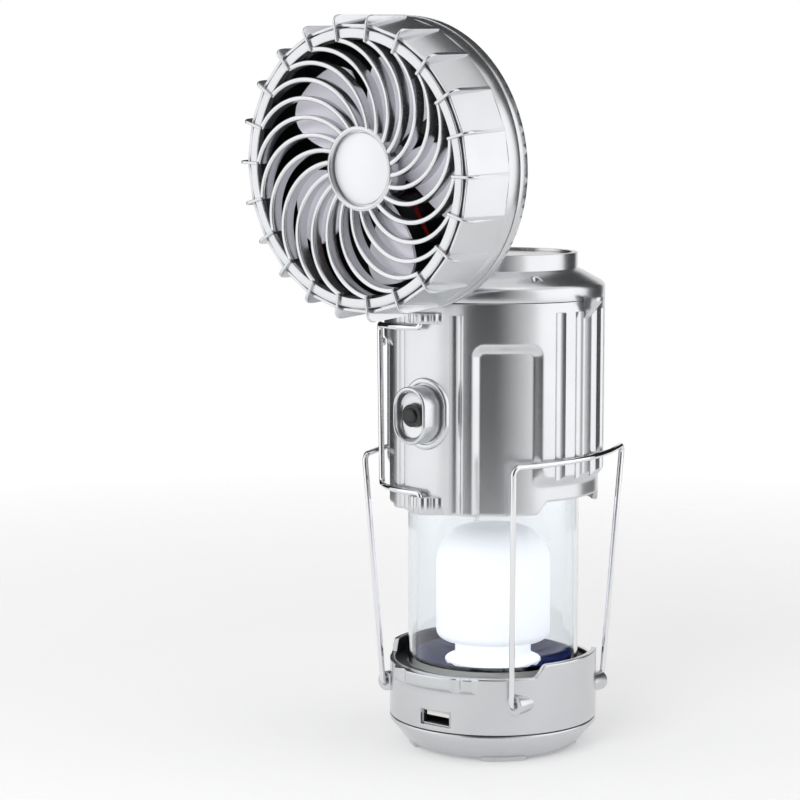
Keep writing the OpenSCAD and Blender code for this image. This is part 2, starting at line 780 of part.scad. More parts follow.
module switch_body() color("#222426") on_sleeve() difference() {
    box(switch_w, switch_front - switch_back, switch_w,
        [0, -(switch_front + switch_back) / 2, pod_up - switch_w / 2]);
    translate([0, 0, pod_up]) rotate([90, 0, 0])
        translate([0, 0, switch_front - stem_len - button_travel - 0.3])
        cylinder(r = stem_r + pin_gap, h = 20);
}

module switch_board() color(BOARD) on_sleeve()
    around_pod(-1.5 - slip, pocket_y, switch_back);

module switch_button() color(BLACK) on_sleeve() translate([0, 0, pod_up]) rotate([90, 0, 0]) {
    shoulder = switch_front + button_travel + 0.2;
    crown = pod_reach + 0.6;
    translate([0, 0, switch_front - stem_len]) cylinder(r = stem_r, h = stem_len + button_travel + 0.3);
    translate([0, 0, shoulder]) cylinder(d = button_d, h = crown - 0.5 - shoulder);
    translate([0, 0, crown - 0.5 - eps]) cylinder(d1 = button_d, d2 = button_d - 1, h = 0.5 + eps);
}

module bracket(low, h, bore_low, bore_high) difference() {
    translate([0, bracket_r - handle_r - wire_r - 1, low]) cylinder(r = bracket_r, h = h);
    translate([0, 0, low - 1]) cylinder(r = panel_r + fit, h = h + 2);
    translate([0, -handle_r, bore_low]) cylinder(r = wire_bore_r, h = bore_high - bore_low);
}

module bracket_lower() color(SILVER) on_sleeve()
    bracket(0, bracket_low_h, 1.5, bracket_low_h + 1);

module bracket_upper() color(SILVER) on_sleeve()
    bracket(bracket_top_up, bracket_top_h, bracket_top_up - 1, bracket_top_up + bracket_top_h - 0.5);

module handle_rest() color(CHROME) on_sleeve() intersection() {
    tube(handle_r - wire_r - 0.2, panel_r + fit, rest_up, rest_up + rest_h);
    rotate([0, 0, -handle_angle]) box(rest_w, panel_d, rest_h + 2, [0, -panel_d / 2, rest_up - 1]);
}

module side_handle() color(CHROME) on_sleeve() {
    corner = wire_r + 0.5;
    vertex_r = handle_r / cos(handle_angle / 2);
    bow = handle_r - (2.5 + corner) / tan(handle_angle / 2);
    low = handle_low_up;
    top = handle_top_up;
    stub_low = 2;
    stub_top = bracket_top_up + bracket_top_h - 1;
    wire([polar(handle_r, 0, low - corner - wire_lap), polar(handle_r, 0, low),
        polar(vertex_r, -handle_angle / 2, low), polar(handle_r, -handle_angle, low),
        polar(handle_r, -handle_angle, top), polar(vertex_r, -handle_angle / 2, top),
        polar(handle_r, 0, top), polar(handle_r, 0, top + corner + wire_lap)],
        [corner, bow, 2.4, 2.4, bow, corner], wire_r);
    translate([0, -handle_r, stub_low]) cylinder(r = wire_r, h = low - corner - stub_low);
    translate([0, -handle_r, top + corner]) cylinder(r = wire_r, h = stub_top - top - corner);
}

module bail_catches() color(SILVER) on_sleeve() for (s = [-1, 1]) difference() {
    translate([0, catch_y, 0]) rotate([90, 0, 0]) linear_extrude(catch_w, center = true)
        polygon([[s * (panel_r - 1), catch_top], [s * (panel_r + catch_reach), catch_top],
            [s * (panel_r + catch_reach), catch_top - catch_shelf],
            [s * (panel_r - 1), catch_top - catch_shelf - catch_drop]]);
    cylinder(r = panel_r + fit, h = catch_top + 1);
}

// Point of a bail: along the pivot, outward from the bail's plane, and up its legs
function bail_point(side, y, out, up) = [
    side * (bail_x + out * cos(bail_lean) + up * sin(bail_lean)), y,
    bail_z - out * sin(bail_lean) + up * cos(bail_lean)];

module bail(side) color(CHROME) {
    stub_end = bail_foot_y - bail_corner;
    wire([bail_point(side, -stub_end + wire_lap, 0, 0), bail_point(side, -bail_foot_y, 0, 0),
        bail_point(side, -bail_top_y, 0, bail_leg), bail_point(side, 0, bail_vertex, bail_leg),
        bail_point(side, bail_top_y, 0, bail_leg), bail_point(side, bail_foot_y, 0, 0),
        bail_point(side, stub_end - wire_lap, 0, 0)],
        [bail_corner, bail_corner, bail_arc, bail_corner, bail_corner], wire_r);
    for (s = [-1, 1]) translate([side * bail_x, s * stub_y, bail_z]) rotate([s * -90, 0, 0])
        cylinder(r = wire_r, h = stub_end - stub_y);
}

module bail_right() bail(1);
module bail_left() bail(-1);

module lid() color(SILVER) translate([0, 0, lid_z]) {
    round = 3;
    shoulder_r = panel_r - 8.4;
    shoulder_up = collar_up - 1.2;
    collar_r = collar_d / 2;
    spigot = 3.8;
    difference() {
        union() {
            turned(concat([[bore_r - fit - wall, -spigot], [bore_r - fit, -spigot], [bore_r - fit, 0],
                [panel_r, 0]], arc(panel_r - round, lid_side_h, round, 0, 55),
                [[shoulder_r, shoulder_up], [collar_r, collar_up], [collar_r, lid_top],
                [solar_d / 2 + air, lid_top], [solar_d / 2 + air, solar_seat], [0, solar_seat],
                [0, solar_seat - wall], [collar_r - wall, solar_seat - wall],
                [collar_r - wall, collar_up - wall], [bore_r - fit - wall, lid_side_h]]));
            for (i = [0:2]) rotate([0, 0, 120 * i + 60]) translate([board_screw_r, 0, board_up])
                cylinder(r = 2.4, h = solar_seat - 1 - board_up);
            for (s = [-1, 1]) translate(polar(lid_screw_r, s * lid_screw_angle, 0))
                cylinder(r = 3, h = lid_head_up + 0.6);
        }
        for (s = [-1, 1]) translate(polar(lid_screw_r, s * lid_screw_angle, -20)) {
            cylinder(r = lid_thread_r + air, h = 40);
            translate([0, 0, 20 + lid_head_up]) cylinder(r = lid_hole_r, h = 20);
            cylinder(r = 2.6 + air, h = 20);
        }
        for (i = [0:2]) rotate([0, 0, 120 * i + 60]) translate([board_screw_r, 0, board_up - 1])
            cylinder(r = board_thread_r + fit, h = 5);
    }
}

module lid_screws() color("#8a8d90") translate([0, 0, lid_z]) for (s = [-1, 1])
    translate(polar(lid_screw_r, s * lid_screw_angle, lid_head_up)) {
        cylinder(r = lid_head_r, h = 1.2);
        translate([0, 0, -lid_head_up - 2.8]) cylinder(r = lid_thread_r, h = lid_head_up + 2.8 + eps);
    }

module solar_panel() color("#4a2020") translate([0, 0, lid_z + solar_seat])
    cylinder(d = solar_d, h = solar_t);

module control_board() color(BOARD) translate([0, 0, lid_z + board_up - control_t]) difference() {
    union() {
        cylinder(r = control_r, h = control_t);
        box(chip_w, chip_d, chip_h, [0, chip_d - 2, control_t - eps]);
        translate([2 - chip_w, -2 * coil_r, control_t - eps]) cylinder(r = coil_r, h = coil_h);
    }
    for (i = [0:2]) rotate([0, 0, 120 * i + 60]) translate([board_screw_r, 0, -1])
        cylinder(r = board_thread_r + air, h = 5);
}

module control_board_screws() color("#8a8d90") for (i = [0:2]) rotate([0, 0, 120 * i + 60])
    translate([board_screw_r, 0, lid_z + board_up - control_t]) {
        translate([0, 0, -1]) cylinder(r = board_head_r, h = 1);
        cylinder(r = board_thread_r, h = control_t + board_thread_len);
    }

module hinge_bracket() color(SILVER) translate([0, 0, hinge_z]) difference() {
    low = hinge_up - collar_up - 0.2;
    union() {
        for (s = [-1, 1]) translate([s * ear_x, 0, 0]) {
            translate([0, -hinge_y, 0]) pin_x(knuckle_r, ear_w);
            across(ear_w) polygon([[-hinge_y, -knuckle_r], [-hinge_y - 1, -low], [-collar_d / 2 + 4, -low],
                [-collar_d / 2 + 4, 0], [-hinge_y, 0]]);
        }
        box(2 * hinge_half, 6, low - knuckle_r - 0.5, [0, -hinge_y + 2, -low]);
    }
    translate([0, 0, -20]) cylinder(r = collar_d / 2 + fit, h = 40);
    translate([0, -hinge_y, 0]) pin_x(screw_r + fit, 4 * knuckle_w);
}

module hinge_screw() color(CHROME) translate([0, -hinge_y, hinge_z]) {
    pin_x(screw_r, 2 * hinge_half + 4);
    translate([hinge_half + 1.2, 0, 0]) pin_x(head_r, 2.2);
}

module hinge_nut() color("#9a9da0") translate([-hinge_half - 1.2, -hinge_y, hinge_z]) difference() {
    rotate([0, 90, 0]) cylinder(r = head_r, h = 2, center = true, $fn = 6);
    pin_x(screw_r + fit, 4);
}

// Depths on the fan count back from its face, so an outline's second value is a depth
module drum_turned(profile) turned([for (p = profile) [p[0], -p[1]]]);

module fan_front_shell() color(SILVER) on_fan() union() {
    drum_turned([[fan_open_r, 0], [face_r, 0], [face_r, 2.5], [groove_out, 2.5], [groove_out, 1],
        [drum_front_r, 0.6], [drum_r, drum_slope_s], [seam_r, drum_slope_s + 0.3],
        [seam_r, drum_seam_s], [seam_r - fan_wall, drum_seam_s],
        [seam_r - fan_wall, drum_slope_s], [drum_front_r - fan_wall, flange_s],
        [fan_open_r, flange_s]]);
    for (i = [0:fins - 1]) rotate([0, 0, -fin_start - i * 360 / fins]) fin();
}

// Radial rib over the face and down the drum, in the plane x = 0 on the +Y side
module fin() {
    round = 2.2;
    across(fin_t) polygon(concat([[fan_open_r + 0.2, -3], [fan_open_r + 0.2, fin_up]],
        arc(fin_r - round, fin_up - round, round, 90, 0),
        [[fin_r - 0.5, -fin_end_s], [drum_r - 1, -fin_end_s], [drum_front_r - 0.8, -3]]));
}

module fan_grille() color(CHROME) on_fan() difference() {
    union() {
        drum_turned([[grille_r, 0.4], [grille_r, flange_s + fit], [fan_open_r + 2, flange_s + fit],
            [fan_open_r + 2, flange_s + 1.4], [grille_r - 1.3, flange_s + 1.4], [grille_r - 1.3, 0.4]]);
        drum_turned([[hub_disc_r + air, hub_front_s], [hub_disc_r + 2.4, hub_front_s],
            [hub_disc_r + 2.4, hub_back_s], [hub_disc_r - 1.5, hub_back_s],
            [hub_disc_r - 1.5, hub_seat_s], [hub_disc_r + air, hub_seat_s]]);
        for (i = [0:fins - 1]) rotate([0, 0, -fin_start - i * 360 / fins + vane_lag]) vane();
    }
}

// Curved vane from the ring back to the hub, its curve's middle on the +Y side
module vane() intersection() {
    translate([0, vane_offset, -hub_back_s])
        tube(vane_r + vane_t / 2, vane_r - vane_t / 2, 0, hub_back_s);
    drum_turned([[hub_disc_r + 1.2, hub_drop + 0.5], [grille_r - 0.6, 0.5],
        [grille_r - 0.6, vane_depth + 0.2], [hub_disc_r + 1.2, hub_back_s - 0.3]]);
    translate([0, -fan_open_r, -hub_back_s]) cube([fan_open_r, 2 * fan_open_r, hub_back_s]);
}

module hub_disc() color("#bfc1c3") on_fan() translate([0, 0, fit - hub_seat_s])
    cylinder(r = hub_disc_r, h = 1.6);

module fan_rear_shell() color(SILVER) on_fan() {
    back = fan_depth;
    rear_face = drum_rear_s;
    difference() {
        union() {
            drum_turned([[seam_r - fan_wall - air, drum_seam_s - 3.5],
                [seam_r - fan_wall - air, drum_seam_s + 0.3],
                [seam_r, drum_seam_s + 0.3], [drum_back_r + 0.4, rear_face - 3],
                [drum_back_r - 2, rear_face], [rear_r + 1.5, rear_face + 1], [rear_r, rear_face + 2.4],
                [rear_r, back], [0, back], [0, back - boss_wall], [boss_in, back - boss_wall],
                [boss_in, rear_face - 0.7], [drum_back_r - 3, rear_face - fan_wall],
                [drum_back_r - 1.4, rear_face - 3.2], [seam_r - 2 * fan_wall, drum_seam_s - 3.5]]);
            translate([0, -hinge_y, -hinge_s]) pin_x(knuckle_r, knuckle_w);
            box(knuckle_w, 6.5, hinge_s - rear_face - 0.5,
                [0, -hinge_y - knuckle_r + 3.25, -hinge_s]);
        }
        for (s = [-1, 1]) translate([s * (knuckle_w / 2 + 4.3), -hinge_y, -hinge_s])
            pin_x(knuckle_r + 0.6, 8.6 - ear_gap / 2);
        translate([0, -hinge_y, -hinge_s]) pin_x(screw_r + pin_gap, 2 * knuckle_w);
        for (i = [0:vent_count - 1]) rotate([0, 0, 360 * (i + 0.5) / vent_count])
            box(vent_w, vent_len, 6, [0, rear_r + 3.5 + vent_len / 2, -rear_face - 2.5]);
    }
}

module motor_cradle() color("#3a3c3f") on_fan() difference() {
    floor_s = fan_depth - boss_wall;
    union() {
        drum_turned([[motor_x + fit, cradle_s], [cradle_r, cradle_s], [cradle_r, floor_s], [0, floor_s],
            [0, motor_s + motor_len + fit], [motor_x + fit, motor_s + motor_len + fit]]);
        for (i = [0:2]) rotate([0, 0, 120 * i])
            box(lug_w, lug_len, lug_t, [0, boss_in - 2 - lug_len / 2, -floor_s]);
    }
    for (i = [0:2]) rotate([0, 0, 120 * i]) translate([0, boss_in - 5, -floor_s - 1])
        cylinder(r = lug_hole_r, h = lug_t + 3);
}

module fan_motor() color("#b4b7ba") on_fan() difference() {
    union() {
        translate([0, 0, -motor_s - motor_len]) cylinder(r = motor_x, h = motor_len);
        translate([0, 0, -motor_s - eps]) cylinder(r = 3, h = 0.8);
    }
    translate([0, 0, -motor_s - motor_len + 2]) cylinder(r = shaft_r + pin_gap, h = motor_len);
}

module motor_leads() on_fan() for (s = [-1, 1]) color(s > 0 ? "#b3261e" : "#202020")
    wire([[s * 6, -motor_x - 3, -motor_s - 3], [s * 6, -motor_x - 3, -motor_s - 7],
        [s * 9, -boss_in + 4, -motor_s - 12], [s * 9, -boss_in + 4, -fan_depth + boss_wall + 0.2]],
        [2, 2], lead_r);

module motor_shaft() color("#d9dadc") on_fan()
    translate([0, 0, -motor_s - motor_len + 3])
    cylinder(r = shaft_r, h = motor_len - 3 + motor_s - rotor_front_s - 1.5);

module fan_rotor() color("#d6d4e4") on_fan() difference() {
    union() {
        translate([0, 0, -rotor_front_s - rotor_h]) cylinder(r = rotor_hub_r, h = rotor_h);
        for (i = [0:blades - 1]) rotate([0, 0, 360 * i / blades + 20]) intersection() {
            translate([0, blade_r / 2, -rotor_front_s - rotor_h / 2]) rotate([0, blade_pitch, 0])
                cube([3 * blade_w, blade_r, blade_t], center = true);
            tube(blade_r, rotor_hub_r - 1, -rotor_front_s - rotor_h + 0.5, -rotor_front_s - 0.5);
            translate([0, 0, -rotor_front_s - 2 * rotor_h]) linear_extrude(3 * rotor_h)
                polygon([[-blade_root, 0], [blade_root, 0], [blade_w, blade_r + 5], [-blade_w, blade_r + 5]]);
        }
    }
    translate([0, 0, -rotor_front_s - rotor_h - 1]) cylinder(r = rotor_hub_r - 1.5, h = 3.5);
    translate([0, 0, -rotor_front_s - rotor_h - 1]) cylinder(r = shaft_r + fit, h = rotor_h);
}

torch_bezel();
torch_lens();
torch_reflector();
torch_board();
seam_gasket();
base_housing();
base_board();
port_shell();
port_tongue();
battery_cells();
cell_cradle();
cell_contacts();
lamp_deck();
lamp_tube();
tube_stop_ring();
lamp_reflector();
lamp_shade();
lamp_board();
body_sleeve();
sleeve_guide_ring();
switch_frame();
switch_pod();
switch_collar();
switch_body();
switch_board();
switch_button();
bracket_lower();
bracket_upper();
handle_rest();
side_handle();
bail_catches();
bail_right();
bail_left();
lid();
lid_screws();
solar_panel();
control_board();
control_board_screws();
hinge_bracket();
hinge_screw();
hinge_nut();
fan_front_shell();
fan_grille();
hub_disc();
fan_rear_shell();
motor_cradle();
fan_motor();
motor_leads();
motor_shaft();
fan_rotor();
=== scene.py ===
# %% [markdown]
# # A lantern with a fan on its lid
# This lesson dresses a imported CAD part: a camping lantern whose sleeve slides on a clear tube
# and whose lid carries a tilting fan. The CAD solids are exact but plain, so the skins that
# show most are modelled again here with soft edges and fine grooves, and every surface gets
# the finish of the real one. Blender counts in metres, in the CAD part's own frame: +Z up and
# the front towards -Y. Shapes are typed in millimetres and multiplied by MM.

# %% Load the frame
import json
import math
import bmesh
import bpy
from mathutils import Matrix, Vector

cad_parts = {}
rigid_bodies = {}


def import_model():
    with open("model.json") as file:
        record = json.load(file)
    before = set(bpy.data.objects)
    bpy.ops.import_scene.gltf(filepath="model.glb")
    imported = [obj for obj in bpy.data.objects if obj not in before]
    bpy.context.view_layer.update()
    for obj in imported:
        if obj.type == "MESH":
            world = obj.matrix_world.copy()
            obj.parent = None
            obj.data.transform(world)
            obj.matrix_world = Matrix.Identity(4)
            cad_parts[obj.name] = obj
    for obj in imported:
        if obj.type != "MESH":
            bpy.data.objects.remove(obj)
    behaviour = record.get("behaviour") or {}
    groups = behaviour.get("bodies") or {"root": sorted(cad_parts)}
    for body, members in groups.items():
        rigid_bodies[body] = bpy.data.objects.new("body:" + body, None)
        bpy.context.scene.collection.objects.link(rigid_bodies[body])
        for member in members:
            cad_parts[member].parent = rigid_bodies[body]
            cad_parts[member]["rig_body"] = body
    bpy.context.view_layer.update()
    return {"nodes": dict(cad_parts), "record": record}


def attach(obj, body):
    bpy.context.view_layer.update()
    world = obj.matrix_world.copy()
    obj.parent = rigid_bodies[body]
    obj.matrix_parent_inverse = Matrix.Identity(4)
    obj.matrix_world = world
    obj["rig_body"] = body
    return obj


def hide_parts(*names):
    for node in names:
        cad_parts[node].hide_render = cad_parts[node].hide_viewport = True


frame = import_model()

MM = 0.001
nodes = frame["nodes"]
scene = bpy.context.scene
slot_of = {part["node"]: part["material_slot"] for part in frame["record"]["subparts"]}

# %% [markdown]
# ## The camera
# The photograph looks at the lantern from a little above, 37.5 degrees round from its front. Its
# lens is long, so the verticals stay nearly parallel. The camera could track a target, but a
# place and a direction also keep it aimed just beside the axis, which leaves room for the fan.

# %% Camera
CAMERA_AT = Vector((575.7, -750.3, 250.8)) * MM
VIEW_DIRECTION = Vector((-0.6355, 0.7632, -0.1169))
LENS_MM, SENSOR_MM = 106.77, 36
LANTERN_MIDDLE = Vector((0, 0, 0.14))

def add_object(name, data):
    """Puts a camera, a lamp or a mesh into the scene, at the origin."""
    added = bpy.data.objects.new(name, data)
    scene.collection.objects.link(added)
    return added


camera_data = bpy.data.cameras.new("camera")
camera_data.lens = LENS_MM
camera_data.sensor_width = SENSOR_MM
camera_data.clip_start = 0.05
camera = add_object("camera", camera_data)
camera.location = CAMERA_AT
camera.rotation_euler = VIEW_DIRECTION.to_track_quat("-Z", "Y").to_euler()
scene.camera = camera
print("camera", round((CAMERA_AT - LANTERN_MIDDLE).length, 3), "m from the lantern")

# %% [markdown]
# ## Colours and shader nodes
# A colour is written as the sRGB hex value that a colour picker shows, and one function turns it
# into the linear light that Cycles counts in. Another small function adds a shader node with its
# settings and links, so that a material reads as a short list of what the surface is made of.

# %% Colour and node helpers
def linear(hex_colour):
    """Linear RGBA of an sRGB hex colour such as #c0c2c5."""
    channels = [int(hex_colour[i:i + 2], 16) / 255 for i in (1, 3, 5)]
    return tuple(c / 12.92 if c <= 0.04045 else ((c + 0.055) / 1.055) ** 2.4
                 for c in channels) + (1.0,)


def add_node(tree, kind, settings=None, links=None):
    """New shader node. Settings name its sockets or properties, links the sockets to feed."""
    node = tree.nodes.new(kind)
    for name, value in (settings or {}).items():
        if name in node.inputs:
            node.inputs[name].default_value = value
        else:
            setattr(node, name, value)
    for name, source in (links or {}).items():
        tree.links.new(source, node.inputs[name])
    return node


def new_material(name, settings):
    """Material with one Principled shader, whose sockets take the settings."""
    material = bpy.data.materials.new(name)
    material.use_nodes = True
    shader = material.node_tree.nodes["Principled BSDF"]
    for socket, value in settings.items():
        shader.inputs[socket].default_value = value
    return material, material.node_tree, shader


print("grey #808080 is", round(linear("#808080")[0], 3), "in linear light")

# %% [markdown]
# ## Grain
# Paint, plating and moulded plastic are all slightly uneven, which softens what they mirror. An
# image could show that, but noise needs no unwrapping, has no seams and keeps its real size in
# millimetres. The same noise drives the roughness and a shallow bump.

# %% Grain
def add_grain(tree, shader, size_mm, height_mm, rough_low, rough_high):
    """Noise of a real size varies the roughness and raises the surface a little."""
    place = add_node(tree, "ShaderNodeTexCoord")
    noise = add_node(tree, "ShaderNodeTexNoise", {"Scale": 1 / (size_mm * MM), "Detail": 2.0},
                     {"Vector": place.outputs["Object"]})
    rough = add_node(tree, "ShaderNodeMapRange",
                     {"From Min": 0.3, "From Max": 0.7, "To Min": rough_low, "To Max": rough_high},
                     {"Value": noise.outputs["Fac"]})
    tree.links.new(rough.outputs["Result"], shader.inputs["Roughness"])
    bump = add_node(tree, "ShaderNodeBump", {"Strength": 0.6, "Distance": height_mm * MM},
                    {"Height": noise.outputs["Fac"]})
    tree.links.new(bump.outputs["Normal"], shader.inputs["Normal"])
    return noise


print("a grain of 0.3 mm has a noise scale of", round(1 / (0.3 * MM)))

# %% [markdown]
# ## Silver paint
# The housings are moulded ABS, sprayed with a silver paint. Its aluminium flakes lie nearly flat,
# so the paint mirrors the studio softly, and flakes that lie askew give a fine sparkle. They are
# about 0.05 mm wide, too fine to show, so the grain is drawn at 0.3 mm. Trim pieces such as the
# grille and the switch pod are a brighter spray of the same paint, and the hub is a matt one.

# %% Silver-painted ABS
FLAKE_MM = 0.3
SPRAY_MM = 14

def silver_paint(name, colour, shade, rough_low, rough_high, height_mm):
    """Silver spray over ABS: flakes for the sparkle, and a slow drift in tone from the gun."""
    material, tree, shader = new_material(name, {"Metallic": 0.92, "IOR": 1.5})
    noise = add_grain(tree, shader, FLAKE_MM, height_mm, rough_low, rough_high)
    place = add_node(tree, "ShaderNodeTexCoord")
    drift = add_node(tree, "ShaderNodeTexNoise", {"Scale": 1 / (SPRAY_MM * MM), "Detail": 1.0},
                     {"Vector": place.outputs["Object"]})
    both = add_node(tree, "ShaderNodeMix", {"Factor": 0.35},
                    {"A": noise.outputs["Fac"], "B": drift.outputs["Fac"]})
    tone = add_node(tree, "ShaderNodeMix", {"data_type": "RGBA"},
                    {"Factor": both.outputs["Result"]})
    for socket, value in zip([s for s in tone.inputs if s.type == "RGBA"], (shade, colour)):
        socket.default_value = linear(value)
    mixed = next(s for s in tone.outputs if s.type == "RGBA")
    tree.links.new(mixed, shader.inputs["Base Color"])
    return material


finishes = {
    "silver_paint": silver_paint("silver-painted ABS", "#dadbdd", "#c2c4c7", 0.19, 0.27, 0.004),
    "silver_trim": silver_paint("bright silver-painted ABS", "#dcdddf", "#cbcdd0", 0.2, 0.28,
                                0.003),
    "satin_trim": silver_paint("matt silver-painted ABS", "#f2f3f5", "#e8e9ec", 0.5, 0.6, 0.002),
}
print("paints:", sorted(finishes))

# %% [markdown]
# ## Chrome, steel and bare metal
# The bails and the handle are polished spring-steel wire with a nickel and chrome plate: almost a
# mirror, with faint marks from drawing and polishing. Screws and the port's shell are zinc-plated
# steel, a little greyer and less sharp. The lamp's dish is plastic with vacuum-deposited
# aluminium. Its colours are painted shade: dark and bluish, as the dish looks where it mirrors the
# dark space under the shade, and darker than the bright metal itself.

# %% Metals
def bare_metal(name, colour, rough_low, rough_high, size_mm, height_mm, edge="#ffffff"):
    """A metal that differs in colour, at its edges too, and in how finely it was finished."""
    material, tree, shader = new_material(name, {
        "Base Color": linear(colour), "Metallic": 1.0, "Specular Tint": linear(edge)})
    add_grain(tree, shader, size_mm, height_mm, rough_low, rough_high)
    return material


finishes.update({
    "chrome_wire": bare_metal("chrome-plated steel wire", "#e4e4e6", 0.04, 0.1, 0.8, 0.004),
    # The dish's dark bluish colours are painted shade, not the aluminium's own colour
    "plated": bare_metal("aluminium-plated plastic with painted shade", "#4e5166", 0.03, 0.07, 3.0, 0.004,
                         "#8c8fa8"),
    "steel": bare_metal("zinc-plated steel", "#bcbec2", 0.18, 0.3, 0.4, 0.003),
    "motor_can": bare_metal("rolled steel can", "#a9abae", 0.25, 0.38, 0.5, 0.004),
})
print("paints and metals:", sorted(finishes))

# %% [markdown]
# ## Plastics and rubber
# The tube is clear polycarbonate, the lamp's shade frosted white polycarbonate that glows evenly,
# the button and the port's inside are black ABS, and the seam at the foot is a black rubber ring.
# A mould leaves a very fine spark-eroded texture on plastic, which breaks up the highlight.

# %% Plastics
MOULD_GRAIN_MM, MOULD_GRAIN_H_MM = 0.4, 0.004
POLYCARBONATE_IOR = 1.58

def moulded(name, colour, rough_low, rough_high, ior=1.53):
    """Opaque moulded plastic or rubber."""
    material, tree, shader = new_material(name, {"Base Color": linear(colour), "IOR": ior})
    add_grain(tree, shader, MOULD_GRAIN_MM, MOULD_GRAIN_H_MM, rough_low, rough_high)
    return material


def clear_polycarbonate():
    """Clear extruded tube: polished on both sides and slightly bluish."""
    return new_material("clear polycarbonate", {
        "Base Color": linear("#f7fafc"), "Transmission Weight": 1.0, "IOR": POLYCARBONATE_IOR,
        "Roughness": 0.0})[0]


def glowing_shade():
    """Frosted shade over white lamps: a soft, even glow with a little light in its wall."""
    material, tree, shader = new_material("frosted white polycarbonate", {
        "Base Color": linear("#f4f5f7"), "IOR": POLYCARBONATE_IOR,
        "Emission Color": linear("#f6f8ff"), "Emission Strength": 0.55,
        "Subsurface Weight": 0.2, "Subsurface Radius": (4 * MM, 4 * MM, 4 * MM)})
    add_grain(tree, shader, 0.5, MOULD_GRAIN_H_MM, 0.45, 0.55)
    return material


finishes.update({
    "clear_tube": clear_polycarbonate(),
    "white_shade": glowing_shade(),
    "black_rubber": moulded("black rubber", "#141516", 0.55, 0.7),
    "black_plastic": moulded("black ABS", "#101113", 0.3, 0.45),
    "white_plastic": moulded("white ABS", "#e4e2dc", 0.35, 0.5),
    "blade_plastic": moulded("pale lavender polypropylene", "#f2f0fa", 0.3, 0.42, 1.49),
    "circuit": moulded("green solder mask", "#1f5a38", 0.25, 0.4),
    "cell_wrap": moulded("blue shrink wrap", "#2f6fa8", 0.25, 0.35),
    "lead": moulded("red silicone lead", "#a82420", 0.4, 0.5),
})
print("finishes so far:", len(finishes))

# %% [markdown]
# ## Solar cells
# The panel on the lid is a row of reddish brown cells under clear resin, with pale lines where one
# cell ends and the next begins. A brick texture without an offset draws them at their real size.
# With that the list of finishes is whole, and every CAD node gets the one that its slot asks for.

# %% Solar cells, and a finish for every node
CELL_W_MM, CELL_H_MM, CELL_LINE_MM = 26, 5.2, 0.22

def solar_cell():
    """Cells under a smooth resin."""
    material, tree, shader = new_material("solar cells under resin", {"IOR": 1.5})
    add_grain(tree, shader, 2.0, 0.003, 0.08, 0.14)
    place = add_node(tree, "ShaderNodeTexCoord")
    cells = add_node(tree, "ShaderNodeTexBrick", {
        "offset": 0.0, "Scale": 1.0, "Brick Width": CELL_W_MM * MM, "Row Height": CELL_H_MM * MM,
        "Mortar Size": CELL_LINE_MM * MM, "Color1": linear("#3f1c1c"), "Color2": linear("#371819"),
        "Mortar": linear("#8d8279")}, {"Vector": place.outputs["Object"]})
    tree.links.new(cells.outputs["Color"], shader.inputs["Base Color"])
    return material


finishes["solar_cell"] = solar_cell()
for name, node in nodes.items():
    node.data.materials.clear()
    node.data.materials.append(finishes[slot_of[name]])
print("finishes:", len(finishes), "on", len(nodes), "nodes")

# %% [markdown]
# ## From a bmesh to a piece
# Every new piece ends in the same way. Its faces are shaded smooth except across edges that turn
# by more than 32 degrees, and then it gets its finish and the body on which it rides, and takes
# the place of a CAD node. One function does all that, so no piece can miss a step.

# %% Pieces
SMOOTH_ANGLE = math.radians(32)

def to_mesh(bm, name, material):
    """Ends a bmesh as a mesh of one material."""
    mesh = bpy.data.meshes.new(name)
    bm.to_mesh(mesh)
    bm.free()
    mesh.materials.append(material)
    return mesh


def make_piece(bm, name, *stands_for, rides_on=None, finish=None):
    """Turns a bmesh into an object that rides and looks as the CAD node it stands for, and hides
    that node.
    """
    for face in bm.faces:
        face.smooth = True
    for edge in bm.edges:
        if edge.is_manifold and edge.calc_face_angle() > SMOOTH_ANGLE:
            edge.smooth = False
    slot = slot_of[stands_for[0]] if stands_for else finish
    piece = add_object(name, to_mesh(bm, name, finishes[finish or slot]))
    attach(piece, rides_on or nodes[stands_for[0]]["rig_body"])
    if stands_for:
        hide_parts(*stands_for)
    print(name, "has", len(piece.data.polygons), "faces")
    return piece


print("edges over", round(math.degrees(SMOOTH_ANGLE)), "degrees stay sharp")

# %% [markdown]
# ## Soft edges on CAD pieces
# No moulded edge is truly sharp: it has a radius of some tenths of a millimetre that catches a
# line of light. A CAD node is never changed, so a copy of it is merged into one mesh, its flat
# triangles are dissolved into whole faces, its sharp edges are bevelled, and the copy stands for
# it. The rubber ring gets no bevel and is only merged, so that it is shaded smooth.

# %% Softened copies
SHARP_ANGLE = math.radians(35)
FLAT_ANGLE = math.radians(0.3)

def merged_copy(node):
    """The CAD node's triangles as one closed bmesh of whole faces."""
    bm = bmesh.new()
    bm.from_mesh(nodes[node].data)
    bmesh.ops.remove_doubles(bm, verts=bm.verts, dist=0.002 * MM)
    bmesh.ops.dissolve_limit(bm, angle_limit=FLAT_ANGLE, verts=bm.verts, edges=bm.edges)
    return bm


def bevel(bm, edges, width_mm, segments):
    """Rounds edges off to a width."""
    bmesh.ops.bevel(bm, geom=edges, offset=width_mm * MM, offset_type="OFFSET",
                    segments=segments, profile=0.5, affect="EDGES", clamp_overlap=True,
                    material=-1)


def soften(node, width_mm, sunk_mm=0):
    """A softened copy of a CAD node stands for it. Its front face may be sunk a little."""
    bm = merged_copy(node)
    front = min(v.co.y for v in bm.verts) + MM
    bmesh.ops.translate(bm, vec=(0, sunk_mm * MM, 0),
                        verts=[v for v in bm.verts if v.co.y < front])
    if width_mm:
        bevel(bm, [e for e in bm.edges if e.is_manifold and e.calc_face_angle() > SHARP_ANGLE],
              width_mm, 2)
    return make_piece(bm, node + "_soft", node)


